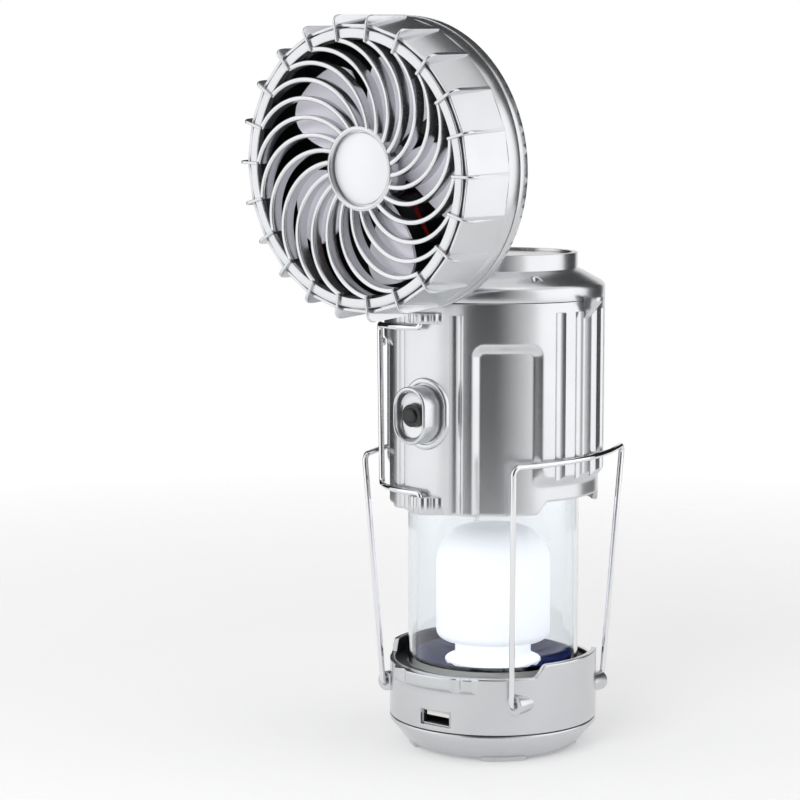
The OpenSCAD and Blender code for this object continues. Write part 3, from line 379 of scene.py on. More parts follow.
for node, width_mm in {"torch_bezel": 0.35, "lid": 0.3, "handle_rest": 0.8, "bail_catches": 0.5,
                       "hinge_bracket": 0.4, "fan_rear_shell": 0.4, "seam_gasket": 0}.items():
    soften(node, width_mm)

# %% [markdown]
# ## Lathe shapes
# Much of the lantern is round: bosses, rings, shade and tube. Such a piece could be cut from
# cylinders, but an outline spun about an axis keeps every step and arc of its profile. Corners of
# outlines get small arcs first, which is cheaper and cleaner than a bevel afterwards.

# %% Outlines and lathe shapes
SPIN_STEPS = 96

def rounded(corners, steps=4):
    """Closed outline in mm from (x, y, radius) corners: each radius becomes a short arc."""
    outline = []
    for i, (x, y, radius) in enumerate(corners):
        here = Vector((x, y))
        if not radius:
            outline.append(here)
            continue
        back = (Vector(corners[i - 1][:2]) - here).normalized()
        ahead = (Vector(corners[(i + 1) % len(corners)][:2]) - here).normalized()
        half = back.angle(ahead) / 2
        centre = here + (back + ahead).normalized() * radius / math.sin(half)
        first, last = (here + way * radius / math.tan(half) - centre for way in (back, ahead))
        outline += [centre + first.slerp(last, k / steps).normalized() * radius
                    for k in range(steps + 1)]
    return outline


def turned(bm, outline, steps=SPIN_STEPS):
    """Outline of (radius, height) points in mm, spun about Z. Returns its new vertices."""
    before = set(bm.verts)
    corners = [bm.verts.new((r * MM, 0, z * MM)) for r, z in outline]
    edges = [bm.edges.new(pair) for pair in zip(corners, corners[1:] + corners[:1])]
    bmesh.ops.spin(bm, geom=corners + edges, cent=(0, 0, 0), axis=(0, 0, 1),
                   angle=math.radians(360), steps=steps, use_merge=True)
    return [v for v in bm.verts if v not in before]


def finish_faces(bm):
    """Closes the seam of a full turn and points every face outward."""
    bmesh.ops.remove_doubles(bm, verts=bm.verts, dist=0.001 * MM)
    bmesh.ops.recalc_face_normals(bm, faces=bm.faces)


print("a full turn takes", SPIN_STEPS, "steps")

# %% [markdown]
# ## Formed wire
# The real wire is bent over round pins. A curve with a bevel depth would do, but its bends pinch
# and its ends stay open. Here a ring is pushed along each straight run and swung round each bend,
# as a wire bender does it, so that the wire keeps its thickness everywhere.

# %% Formed wire
WIRE_SIDES = 16
BEND_STEP_DEG = 7

def verts_in(geometry):
    """The vertices among the things that an operator returned."""
    return [g for g in geometry if isinstance(g, bmesh.types.BMVert)]


def rim_in(grown):
    """The far edges of what an extrusion made."""
    return [g for g in grown if isinstance(g, bmesh.types.BMEdge)
            and all(v in grown for v in g.verts)]


def close_ends(bm):
    """Puts one face into each opening."""
    bmesh.ops.holes_fill(bm, edges=[e for e in bm.edges if e.is_boundary], sides=0)


def formed_wire(bm, corners_mm, bends_mm, radius_mm):
    """Round wire through the corners, with the radius of each bend."""
    corners = [Vector(c) * MM for c in corners_mm]
    runs = [(b - a).normalized() for a, b in zip(corners, corners[1:])]
    turn_in = runs[0].to_track_quat("Z", "Y").to_matrix().to_4x4()
    made = bmesh.ops.create_circle(bm, segments=WIRE_SIDES, radius=radius_mm * MM,
                                   matrix=Matrix.Translation(corners[0]) @ turn_in)
    ring = list({e for v in made["verts"] for e in v.link_edges})
    at = corners[0]
    for i in range(1, len(corners)):
        last = i == len(corners) - 1
        angle = 0 if last else runs[i - 1].angle(runs[i])
        bend = 0 if last else bends_mm[i - 1] * MM
        start = corners[i] - runs[i - 1] * bend * math.tan(angle / 2)
        grown = bmesh.ops.extrude_edge_only(bm, edges=ring)["geom"]
        bmesh.ops.translate(bm, vec=start - at, verts=verts_in(grown))
        ring = rim_in(grown)
        if last:
            break
        inward = (runs[i] - runs[i - 1] * runs[i].dot(runs[i - 1])).normalized()
        swung = bmesh.ops.spin(bm, geom=ring + list({v for e in ring for v in e.verts}),
                               cent=start + inward * bend, axis=runs[i - 1].cross(inward),
                               angle=angle,
                               steps=max(4, round(math.degrees(angle) / BEND_STEP_DEG)))
        ring = [g for g in swung["geom_last"] if isinstance(g, bmesh.types.BMEdge)]
        at = corners[i] + runs[i] * bend * math.tan(angle / 2)
    close_ends(bm)


print("wires have", WIRE_SIDES, "sides")

# %% [markdown]
# ## Moulded wall
# The sleeve and the base are tubes with panels, windows and grooves in their outer face. Cutting
# them with booleans leaves thin triangles that shade badly. Instead a grid is rolled round the
# lantern, and every point is pushed out to the radius that the mould has there. The open rims
# are then extruded inward, which gives the wall its thickness.

# %% Moulded wall
def around(azimuth, distance, height):
    """Point at an azimuth, which counts in degrees from the lantern's front towards +X."""
    a = math.radians(azimuth)
    return Vector((math.sin(a) * distance, -math.cos(a) * distance, height))


def azimuth_of(point):
    """Azimuth in degrees of a point."""
    return math.degrees(math.atan2(point.x, -point.y))


def spaced(start, end, step):
    """Evenly spaced heights, both ends included."""
    count = max(1, round((end - start) / step))
    return [start + (end - start) * k / count for k in range(count + 1)]


def moulded_wall(columns, heights, place):
    """Grid rolled round the lantern: place(azimuth, height) gives each radius and height."""
    bm = bmesh.new()
    rows = len(heights) - 1
    bmesh.ops.create_grid(bm, x_segments=columns, y_segments=rows, size=0.5)
    for v in bm.verts:
        azimuth = 360 * (v.co.x + 0.5) - 180
        r, z = place(azimuth, heights[round((v.co.y + 0.5) * rows)])
        v.co = around(azimuth, r * MM, z * MM)
    bmesh.ops.remove_doubles(bm, verts=bm.verts, dist=0.001 * MM)
    return bm


def rims_of(bm, middle_mm):
    """The open rims below and above a height."""
    rims = [e for e in bm.edges if e.is_boundary]
    return ([e for e in rims if e.verts[0].co.z < middle_mm * MM],
            [e for e in rims if e.verts[0].co.z > middle_mm * MM])


def turn_in_edge(bm, edges, steps_mm):
    """Extrudes a rim by (radius, height) steps. None keeps what each point has."""
    for radius, height in steps_mm:
        grown = bmesh.ops.extrude_edge_only(bm, edges=edges)["geom"]
        for v in verts_in(grown):
            flat = Vector((v.co.x, v.co.y))
            if radius is not None:
                flat = flat.normalized() * radius * MM
            v.co = (flat.x, flat.y, v.co.z if height is None else height * MM)
        edges = rim_in(grown)


print("heights 0 to 9 in steps of about 2:", spaced(0, 9, 2))

# %% [markdown]
# ## Soft steps
# A mould's edges are rounded too, and the closed lantern's parting line rises at both sides. Three
# small functions describe that: a step with soft corners, the parting line's rise, and how far a
# rounded edge falls back. They are plain formulas, so that the two walls can share them.

# %% Profile of the walls
SKIN_R, PANEL_R, BORE_R = 41.8, 44.0, 39.8
RISE_MM, RISE_RUN = 4.9, 5
RISE_FRONT_Y, RISE_BACK_Y = -20.6, 22.7

def clamped(t):
    """Holds a share between 0 and 1."""
    return min(1, max(0, t))


def soft_clamp(t, softness=0.1):
    """Rises from 0 to 1 between t = 0 and t = 1, with rounded corners."""
    return (math.hypot(t, softness) - math.hypot(t - 1, softness) + 1) / 2


def rim_rise(azimuth):
    """Rise in mm of the parting line at the sides. It is level in front and at the back."""
    y = -SKIN_R * math.cos(math.radians(azimuth))
    up, down = (clamped((y - start) / RISE_RUN) for start in (RISE_FRONT_Y, RISE_BACK_Y))
    return RISE_MM * (math.cos(math.pi * down) - math.cos(math.pi * up)) / 2


def edge_round(distance, radius=0.5):
    """How far a rounded edge falls back at this distance from the edge."""
    inside = max(0, radius - max(0, distance))
    return radius - math.sqrt(radius * radius - inside * inside)


print("the parting line rises by", rim_rise(90), "mm at the side")

# %% [markdown]
# ## Sleeve
# The sleeve is one ABS moulding. Raised panels stand 2.2 mm out of its skin, and between them lie
# four windows with sloping sides and round corners, open towards the lower edge. A distance in
# the unrolled wall tells each point how far it lies from the panels' outline, and so how far it
# stands out. Round-bottomed grooves, cut by a ball cutter of 3 mm radius, run down the panels.

# %% Relief of the sleeve
UNROLL_R = 43
WINDOW_MIDDLES, WINDOW_HALF = (44.4, 142.2), 18.2
WINDOW_TOP, WINDOW_CORNER = 165.5, 5
SIDE_FROM, SIDE_TO, SIDE_LOW = 30, 156, 113.5
BLEND_W = 3.5
GROOVE_R, GROOVE_DEPTH, GROOVE_HALF, GROOVE_END = 3, 1.3, 2.5, 0.15
GROOVE_UNROLL_R = 43.4
FRONT_GROOVES = (17.9, -17.9)

def to_box(u, half, top, radius):
    """Distance in mm to a strip that is closed above by round corners and open below."""
    across = abs(u) - half + radius
    up = top + radius
    return math.hypot(max(across, 0), max(up, 0)) + min(max(across, up), 0) - radius


def sunk_distance(azimuth, z):
    """Distance in mm outside the windows and the band below the side panels."""
    turn = abs(azimuth)
    windows = min(to_box(math.radians(turn - middle) * UNROLL_R,
                         math.radians(WINDOW_HALF) * UNROLL_R, z - WINDOW_TOP, WINDOW_CORNER)
                  for middle in WINDOW_MIDDLES)
    if not SIDE_FROM < turn < SIDE_TO:
        return windows
    band = z - SIDE_LOW
    blend = max(0, 1 - abs(windows - band) / BLEND_W)
    return min(windows, band) - blend * blend * BLEND_W / 4


def groove_radius(panel_r, azimuth, middle, below_top=math.inf):
    """Radius of a groove's floor, or the panel's beside and above the groove."""
    aside = math.radians((azimuth - middle + 180) % 360 - 180) * GROOVE_UNROLL_R
    if abs(aside) >= GROOVE_HALF or below_top < -GROOVE_END:
        return panel_r
    floor = panel_r - GROOVE_DEPTH + GROOVE_R - math.sqrt(GROOVE_R ** 2 - aside ** 2)
    return floor + max(0, 1 - (below_top + GROOVE_END) / (2 * GROOVE_END)) * GROOVE_DEPTH


print("a point in the first window's middle lies", round(sunk_distance(44.4, 140), 2), "mm inside")

# %% [markdown]
# ## The sleeve's wall
# The grid has 720 columns, one every half degree, and its rows lie close together only where the
# relief changes: at the edges, at the windows' ends and at the ends of the grooves.

# %% Sleeve wall
SLEEVE_LOW, SLEEVE_TOP = 99.2, 181.5
SLOPE_W = 2.8
RISE_FADES_AT = 112
COLUMNS = 720
GROOVES = ([(a, 176.7) for a in FRONT_GROOVES + (170.2, -170.2)]
           + [(side * a, 177.5) for side in (1, -1) for a in (73.2, 86.4, 99.6, 112.8)])

def sleeve_place(azimuth, height):
    """Radius and height in mm of the sleeve's outer face."""
    low = SLEEVE_LOW + rim_rise(azimuth)
    z = height + (low - SLEEVE_LOW) * clamped((RISE_FADES_AT - height)
                                              / (RISE_FADES_AT - SLEEVE_LOW))
    out = soft_clamp(1 + sunk_distance(azimuth, z) / SLOPE_W)
    r = min([SKIN_R + (PANEL_R - SKIN_R) * out]
            + [groove_radius(PANEL_R, azimuth, middle, top - z) for middle, top in GROOVES])
    return r - edge_round(z - low) - edge_round(SLEEVE_TOP - z, 0.4), z


heights = ([99.2, 99.3, 99.5, 99.8] + spaced(100.6, 109.6, 1.5) + spaced(110.4, 114.8, 0.55)
           + spaced(117, 155, 4) + spaced(157, 167, 0.5) + spaced(169, 175.5, 2)
           + [176.2, 176.55, 176.7, 176.85, 177.1, 177.35, 177.5, 177.65, 178, 179.5]
           + [181, 181.2, 181.4, 181.5])
bm = moulded_wall(COLUMNS, heights, sleeve_place)
low_rim, top_rim = rims_of(bm, 140)
turn_in_edge(bm, low_rim, [(BORE_R, None), (BORE_R, SLEEVE_TOP)])
turn_in_edge(bm, top_rim, [(BORE_R, None)])
finish_faces(bm)
make_piece(bm, "sleeve_wall", "body_sleeve")

# %% [markdown]
# ## Base housing
# The base repeats the sleeve's edge as a rim, so the two meet when the lantern is closed. A raised
# pad with two grooves continues the sleeve's front panel. For the charging port the grid's columns
# are first moved to the opening's two sides, then its faces are deleted and the outer and the
# inner rim are bridged, which leaves clean square walls in the opening.

# %% Base wall
BASE_LOW, RIM_TOP, RISE_STARTS_AT = 12.6, 34.9, 28.6
PAD_LOW, PAD_HALF, PAD_OUT, PAD_SLOPE = 30.5, 26.2, 2, 2
SHELF_TOP, SHELF_T = 31.2, 2
PORT_LOW, PORT_TOP = 14.6, 20.9
PORT_SIDES = [math.degrees(math.asin(x / SKIN_R)) for x in (-3.82, 10.38)]

def base_place(azimuth, height):
    """Radius and height in mm of the base's outer face."""
    top = RIM_TOP + rim_rise(azimuth)
    z = height + (top - RIM_TOP) * clamped((height - RISE_STARTS_AT)
                                           / (RIM_TOP - RISE_STARTS_AT))
    side = math.radians(PAD_HALF - abs(azimuth)) * UNROLL_R
    out = soft_clamp(min(1 + side / SLOPE_W, 1 + (z - PAD_LOW) / PAD_SLOPE))
    pad_r = SKIN_R + PAD_OUT
    r = min([SKIN_R + PAD_OUT * out]
            + [groove_radius(pad_r, azimuth, middle) for middle in FRONT_GROOVES])
    return r - edge_round(top - z) - edge_round(z - BASE_LOW, 0.3), z


heights = ([12.6, 12.7, 12.9] + spaced(13.3, PORT_LOW, 0.5) + spaced(PORT_LOW, PORT_TOP, 1.6)[1:]
           + spaced(22.5, 27.5, 1.7) + spaced(28.3, 31, 0.3) + spaced(32, 34, 1)
           + [34.4, 34.6, 34.8, 34.9])
bm = moulded_wall(COLUMNS, heights, base_place)
for v in bm.verts:
    azimuth = azimuth_of(v.co)
    for side in PORT_SIDES:
        if abs(azimuth - side) < 180 / COLUMNS and v.co.z < 22.5 * MM:
            v.co = around(side, Vector((v.co.x, v.co.y)).length, v.co.z)
low_rim, top_rim = rims_of(bm, PORT_TOP)
turn_in_edge(bm, low_rim, [(BORE_R, None)])
shelf_r, shelf_low = BORE_R - SHELF_T, SHELF_TOP - SHELF_T
turn_in_edge(bm, top_rim, [(BORE_R, None), (BORE_R, SHELF_TOP), (shelf_r, SHELF_TOP),
                           (shelf_r, shelf_low), (BORE_R, shelf_low), (BORE_R, PORT_TOP),
                           (BORE_R, PORT_LOW), (BORE_R, BASE_LOW)])
middles = {f: f.calc_center_median() for f in bm.faces}
cut = [f for f, at in middles.items() if PORT_LOW * MM < at.z < PORT_TOP * MM
       and PORT_SIDES[0] < azimuth_of(at) < PORT_SIDES[1]]
bmesh.ops.delete(bm, geom=cut, context="FACES")
port_rim = [e for e in bm.edges if e.is_boundary
            and PORT_LOW - 0.1 < e.verts[0].co.z / MM < PORT_TOP + 0.1]
bmesh.ops.bridge_loops(bm, edges=port_rim)
finish_faces(bm)
print("port cut through", len(cut), "faces")

# %% [markdown]
# ## Bail bosses
# Four round bosses stand out of the base and hold the bent ends of the bails. Each is a small
# lathe shape with a bore, laid on its side. They join the base's mesh, as they are moulded on it.

# %% Bail bosses
BAIL_X, BAIL_Z, BAIL_Y = 32.6, 24.8, 30.5
BOSS_FROM_Y = 20
BOSS = rounded([(1.3, 0, 0), (3.7, 0, 0), (3.9, 9.2, 0.4), (1.9, 9.2, 0.15), (1.9, 8.2, 0),
                (1.3, 8.2, 0)])

for side in (1, -1):
    for front in (1, -1):
        foot = Vector((side * BAIL_X, -front * BOSS_FROM_Y, BAIL_Z)) * MM
        lay = Matrix.Rotation(math.radians(90 * front), 4, "X")
        bmesh.ops.transform(bm, verts=turned(bm, BOSS, 32), matrix=Matrix.Translation(foot) @ lay)
bmesh.ops.recalc_face_normals(bm, faces=bm.faces)
make_piece(bm, "base_wall", "base_housing")

# %% [markdown]
# ## A dark ring inside the rim
# Inside the rim a thin black skin is drawn over the base's inner face, which sets the clear tube
# off against a dark ring. One mesh could have two materials, but a thin skin of its own keeps one
# finish to each piece.

# %% Dark lining
LINING_T, LINING_LOW, LINING_H = 0.15, 33.4, 0.8
GAP_R = 34.7

def lining_place(azimuth, height):
    """The lining follows the rim's inner face up to just below its edge."""
    return BORE_R - 0.05, height + rim_rise(azimuth) * (height - LINING_LOW) / LINING_H


def everything(bm):
    """All vertices, edges and faces."""
    return list(bm.verts) + list(bm.edges) + list(bm.faces)


bm = moulded_wall(180, [LINING_LOW, LINING_LOW + LINING_H / 2, LINING_LOW + LINING_H],
                  lining_place)
turn_in_edge(bm, rims_of(bm, LINING_LOW + 0.1)[0], [(GAP_R, None)])
bmesh.ops.recalc_face_normals(bm, faces=bm.faces)
bmesh.ops.solidify(bm, geom=everything(bm), thickness=LINING_T * MM)
finish_faces(bm)
make_piece(bm, "base_lining", rides_on="base", finish="black_plastic")

# %% [markdown]
# ## Port throat
# The charging port is a steel shell in a black moulded throat. The throat is a box without its
# front, with rounded edges along its depth, and is then given a thin wall.

# %% Port throat
THROAT_SIZE = Vector((12.7, 9.0, 4.8)) * MM
THROAT_AT = Vector((3.28, -34.7, 17.75)) * MM
THROAT_CORNER, THROAT_T = 0.8, 0.15

bm = bmesh.new()
bmesh.ops.create_cube(bm, size=1)
bmesh.ops.delete(bm, geom=[f for f in bm.faces if f.normal.y < -0.9], context="FACES_ONLY")
bmesh.ops.scale(bm, vec=THROAT_SIZE, verts=bm.verts)
bevel(bm, [e for e in bm.edges if abs(e.verts[0].co.y - e.verts[1].co.y) > MM], THROAT_CORNER, 4)
bmesh.ops.recalc_face_normals(bm, faces=bm.faces)
bmesh.ops.solidify(bm, geom=everything(bm), thickness=THROAT_T * MM)
bmesh.ops.translate(bm, vec=THROAT_AT, verts=bm.verts)
finish_faces(bm)
make_piece(bm, "port_throat", rides_on="base", finish="black_plastic")

# %% [markdown]
# ## Bails
# The bails are bent on a former from spring-steel wire. Each bail's two ends turn inward into the
# bosses, and its bar bows outward so that it clears the sleeve. Bent wire is never quite square,
# so the front corner of each bail stands a little lower than the back one.

# %% Bails
WIRE_R = 1.13
BAIL_LEAN = math.radians(2.85)
BAIL_END_Y, BAIL_TOP_Y, BAIL_LEG = 21.5, 36.2, 96.6
FOOT_BEND, TOP_BEND = 1.4, 3
BOW_TIP = 5.2
BOW_POINT = 8.0 + BOW_TIP
BOW_R = BOW_TIP / (1 / math.cos(math.atan(BOW_POINT / BAIL_TOP_Y)) - 1)

def bail_point(side, y, out, up):
    """Point of a bail: along the pivot, outward from its plane, and up its legs."""
    return (side * (BAIL_X + out * math.cos(BAIL_LEAN) + up * math.sin(BAIL_LEAN)), y,
            BAIL_Z - out * math.sin(BAIL_LEAN) + up * math.cos(BAIL_LEAN))


for name, side, near_drop, far_drop in (("bail_right", 1, 1.7, 0), ("bail_left", -1, 3.4, 0.8)):
    near, far = BAIL_LEG - near_drop, BAIL_LEG - far_drop
    path = [(-BAIL_END_Y, 0, 0), (-BAIL_Y, 0, 0), (-BAIL_TOP_Y, 0, near),
            (0, BOW_POINT, (near + far) / 2), (BAIL_TOP_Y, 0, far), (BAIL_Y, 0, 0),
            (BAIL_END_Y, 0, 0)]
    bm = bmesh.new()
    formed_wire(bm, [bail_point(side, *step) for step in path],
                [FOOT_BEND, TOP_BEND, BOW_R, TOP_BEND, FOOT_BEND], WIRE_R)
    finish_faces(bm)
    make_piece(bm, name + "_wire", name)

# %% [markdown]
# ## Handle
# The handle is bent from the same wire: two arms follow the panel's curve to a straight grip, and
# their ends stand in the brackets. The same path of corners and bends makes it, with a grip that
# leans by a fraction of a millimetre, as hand-bent wire does.

# %% Handle
HANDLE_R, HANDLE_TURN = 46.8, 41.5
HANDLE_LOW, HANDLE_TOP = 107.3, 171.2
END_LOW, END_TOP = 101.2, 176.6
GRIP_LOW_R, GRIP_TOP_R, GRIP_BEND = 45.4, 46.2, 2.4
HALF_TURN = HANDLE_TURN / 2
HANDLE_BEND = WIRE_R + 0.5
HANDLE_BOW = HANDLE_R - (2.5 + HANDLE_BEND) / math.tan(math.radians(HALF_TURN))
MIDDLE_R = HANDLE_R / math.cos(math.radians(HALF_TURN))

bm = bmesh.new()
path = [(0, HANDLE_R, END_LOW), (0, HANDLE_R, HANDLE_LOW), (HALF_TURN, MIDDLE_R, HANDLE_LOW),
        (HANDLE_TURN, GRIP_LOW_R, HANDLE_LOW), (HANDLE_TURN, GRIP_TOP_R, HANDLE_TOP - 0.4),
        (HALF_TURN, MIDDLE_R, HANDLE_TOP), (0, HANDLE_R, HANDLE_TOP + 0.6), (0, HANDLE_R, END_TOP)]
formed_wire(bm, [around(-turn, r, z) for turn, r, z in path],
            [HANDLE_BEND, HANDLE_BOW, GRIP_BEND, GRIP_BEND, HANDLE_BOW, HANDLE_BEND], WIRE_R)
finish_faces(bm)
make_piece(bm, "handle_wire", "side_handle")

# %% [markdown]
# ## Switch
# The switch sits in a pod that looks like a small racetrack: upright sides, a rounded rim and a
# dished face with the black button in its middle. A low frame follows the panel's curve around it
# and leaves a thin dark gap. One circle, extruded ring by ring and stretched on the way, makes
# either. The button's face is sunk 1.4 mm, to lie in the dish and not in front of it.

# %% Stacked rings
POD_R, POD_STRAIGHT, POD_Z = 8.1, 3.2, 138.2
POD_STEPS = [(0, 1, 43), (0, 1, 53.0), (-0.1, 1, 53.4), (-0.35, 1, 53.75), (-0.7, 1, 53.95),
             (-1.1, 1, 54.0), (-1.4, 1, 53.8), (-1.7, 1, 53.2), (-2.0, 1, 52.3), (-2.3, 1, 51.5),
             (-2.7, 0.95, 51.0), (-3.1, 0.75, 50.8), (-3.45, 0.2, 50.75), (-3.6, 0, 50.6),
             (-3.6, 0, 47)]
FRAME_STEPS = [(0.6, 1, -0.3), (0.6, 1, 0.8), (0.75, 1, 1.1), (1.05, 1, 1.2), (1.9, 1, 1.2),
               (2.3, 1, 1.05), (2.6, 1, 0.7), (2.9, 1, -0.3)]

def stacked_rings(bm, steps, place, sides=64):
    """Circle extruded once for each step. place(way, step) gives each point in mm."""
    made = bmesh.ops.create_circle(bm, segments=sides, radius=1)["verts"]
    bmesh.ops.rotate(bm, verts=made, cent=(0, 0, 0),
                     matrix=Matrix.Rotation(math.pi / sides, 3, "Z"))
    ways = {v: v.co.copy() for v in made}
    edges = list({e for v in made for e in v.link_edges})
    for count, step in enumerate(steps):
        if count:
            grown = bmesh.ops.extrude_edge_only(bm, edges=edges)["geom"]
            edges = rim_in(grown)
            ways = {v: next(ways[e.other_vert(v)] for e in v.link_edges
                            if e.other_vert(v) in ways) for v in verts_in(grown)}
        for v, way in ways.items():
            v.co = place(way, step) * MM


def pod_point(way, step):
    """The pod: a circle stretched into a racetrack that stands square to the front."""
    outward, straight, level = step
    up = way.y * (POD_R + outward) + math.copysign(POD_STRAIGHT * straight, way.y)
    return Vector((way.x * (POD_R + outward), -level, POD_Z + up))


def frame_point(way, step):
    """The frame: the same racetrack, laid on the panel's curve."""
    x, y, z = pod_point(way, step)
    return Vector((x, -math.sqrt((PANEL_R - y) ** 2 - x * x), z))


for name, node, steps, place in (("pod_shell", "switch_pod", POD_STEPS, pod_point),
                                 ("pod_frame", "switch_frame", FRAME_STEPS, frame_point)):
    bm = bmesh.new()
    stacked_rings(bm, steps, place)
    finish_faces(bm)
    make_piece(bm, name, node)
soften("switch_button", 0.2, sunk_mm=1.4)

# %% [markdown]
# ## Handle brackets
# The handle's ends turn in two half-round brackets. Their sides are moulded in narrow upright
# flutes, like the edge of a coin, which give a striped reflection. The same stacked rings make
# them, with a radius that rises and falls on the way round.

# %% Fluted brackets
BRACKET_R, BRACKET_Y = 9.3, -39.3
FLUTES, FLUTE_MM, FLUTE_SIDES = 20, 0.5, 200
WALL_R = 41.0

def bracket_point(way, step):
    """Fluted circle in front, and behind it the inside of the sleeve's wall."""
    inset, z = step
    turn = math.atan2(way.y, way.x)
    r = BRACKET_R - inset - FLUTE_MM * (1 - abs(math.sin(FLUTES / 2 * turn)))
    point = Vector((way.x * r, BRACKET_Y + way.y * r))
    if point.length < WALL_R:
        point = point.normalized() * WALL_R
    return Vector((point.x, point.y, z))


for name, low, top in (("bracket_lower", 99.2, 106.0), ("bracket_upper", 173.3, 177.6)):
    bm = bmesh.new()
    steps = [(0.5, low), (0.15, low + 0.15), (0, low + 0.5),
             (0, top - 0.5), (0.15, top - 0.15), (0.5, top)]
    stacked_rings(bm, steps, bracket_point, FLUTE_SIDES)
    close_ends(bm)
    finish_faces(bm)
    make_piece(bm, name + "_fluted", name)

# %% [markdown]
# ## The fan's own frame
# The fan is tilted by 92.9 degrees on its hinge. A tilted drum is awkward to model, so its pieces
# are built face up about Z, with the opening's middle at the origin, and one matrix then moves
# them into place. Ribs and vanes are modelled once and repeated round the axis.

# %% Place on the tilted fan
HINGE_AT = Vector((0, -37.0, 198.35)) * MM
OPENING_FROM_HINGE = Vector((0, 37.0, 47.55)) * MM
FAN_TILT = math.radians(92.9)
TO_FAN = (Matrix.Translation(HINGE_AT) @ Matrix.Rotation(FAN_TILT, 4, "X")
          @ Matrix.Translation(OPENING_FROM_HINGE))

def fan_piece(bm, name, *stands_for, **extra):
    """Closes a piece that was modelled face up, and tilts it into place."""
    finish_faces(bm)
    bmesh.ops.transform(bm, verts=bm.verts, matrix=TO_FAN)
    return make_piece(bm, name, *stands_for, **extra)


def turn_about_axis(bm, verts, degrees):
    """Turns points about the fan's axis."""
    bmesh.ops.rotate(bm, verts=verts, cent=(0, 0, 0),
                     matrix=Matrix.Rotation(math.radians(degrees), 3, "Z"))


def repeat_round(bm, count, start):
    """Turns the form to its clock angle and repeats it evenly round the fan's axis."""
    turn_about_axis(bm, list(bm.verts), -start)
    bmesh.ops.spin(bm, geom=everything(bm), cent=(0, 0, 0), axis=(0, 0, 1), steps=count - 1,
                   use_duplicate=True, angle=math.radians(360 * (count - 1) / count))


print("the fan's opening lies at", [round(x, 4) for x in TO_FAN.translation])

# %% [markdown]
# ## Fan drum
# The drum has a flat ring round its opening, a groove, and a side that widens backwards.
# Twenty-two thin ribs cross the ring, turn over its edge and run back along the side. Between two
# ribs the side is a flat facet, so its lathe shape is spun in twenty-two steps only.

# %% Front shell with its ribs
OPENING_R, RIBS, FIRST_RIB = 48.0, 22, 10.4
RIB_R, RIB_T, RIB_IN_R = 57.0, 1.2, 47.0
CREST_LOW, CREST_ROUND = -1.5, 0.4
DRUM_STEPS = 132
TINY = 1e-6
RIB = rounded([(55.2, -21.3, 0), (RIB_R - 0.4, -21.3, 0), (RIB_R, 1.3, 3.2), (RIB_IN_R, 1.1, 0.5),
               (RIB_IN_R, -2, 0), (52.4, -2.6, 0)], steps=5)
RING = rounded([(OPENING_R, 0, 0.4), (51.6, 0, 0.5), (51.6, -3, 0), (52.6, -3, 0),
                (52.6, -0.9, 0.15), (53.1, -0.6, 0.2), (53.1, -4.6, 0), (OPENING_R, -4.6, 0)],
               steps=3)
BAND = rounded([(55.8, -21.9, 0.15), (55.8, -28.3, 0.2), (54, -28.3, 0), (54, -21.9, 0)], steps=3)
SIDE = rounded([(53.65, -0.7, 0.3), (56.2, -21.8, 0.15), (55.9, -22.3, 0), (54, -22.3, 0),
                (52.6, -4, 0), (52.6, -0.9, 0)], steps=3)

bm = bmesh.new()
rib = bm.faces.new([bm.verts.new((-RIB_T / 2 * MM, r * MM, z * MM)) for r, z in RIB])
grown = bmesh.ops.extrude_face_region(bm, geom=[rib])["geom"]
bmesh.ops.translate(bm, vec=(RIB_T * MM, 0, 0), verts=verts_in(grown))
bevel(bm, [e for e in bm.edges if abs(e.verts[0].co.x - e.verts[1].co.x) < TINY
           and max(v.co.z for v in e.verts) > CREST_LOW * MM
           and max(v.co.y for v in e.verts) > (RIB_IN_R - 0.1) * MM], CREST_ROUND, 3)
repeat_round(bm, RIBS, FIRST_RIB)
turned(bm, RING, DRUM_STEPS)
turned(bm, BAND, DRUM_STEPS)
sides = turned(bm, SIDE, RIBS)
turn_about_axis(bm, sides, 90 - FIRST_RIB)
for edge in {e for v in sides for e in v.link_edges}:
    one, other = (Vector((v.co.x, v.co.y)) for v in edge.verts)
    edge.smooth = abs(one.cross(other)) > TINY
fan_piece(bm, "drum_front", "fan_front_shell")

# %% [markdown]
# ## Black lining
# Behind the vanes the photograph shows only the blades against black. A black lining is drawn
# along the drum's side and back for that. It is one more lathe shape.

# %% Black lining
# A black lining inside the drum, so that the drum looks black behind the vanes
BLACK_LINING = [(47.9, -2.2), (48.9, -4.7), (50.2, -4.7), (52.6, -22), (52.0, -34.5), (35, -35.2),
          (25.5, -33), (13, -31), (13, -32), (25, -34.2), (34.6, -36), (52.5, -35.4),
          (53.2, -22), (50.5, -5.2), (47.4, -5.0), (47.4, -2.2)]

bm = bmesh.new()
turned(bm, BLACK_LINING)
fan_piece(bm, "drum_black_lining", rides_on="fan", finish="black_plastic")

# %% [markdown]
# ## Vanes and hub
# Each vane of the grille is part of a circle that leaves the ring beside a rib and sweeps into the
# hub, with a rounded front that catches the light. Its section is spun about the circle's middle.
# The grille is dished: the hub lies 4 mm behind the ring, so every point of a vane sinks in
# proportion to its way inward. A plain matt disc closes the hub.

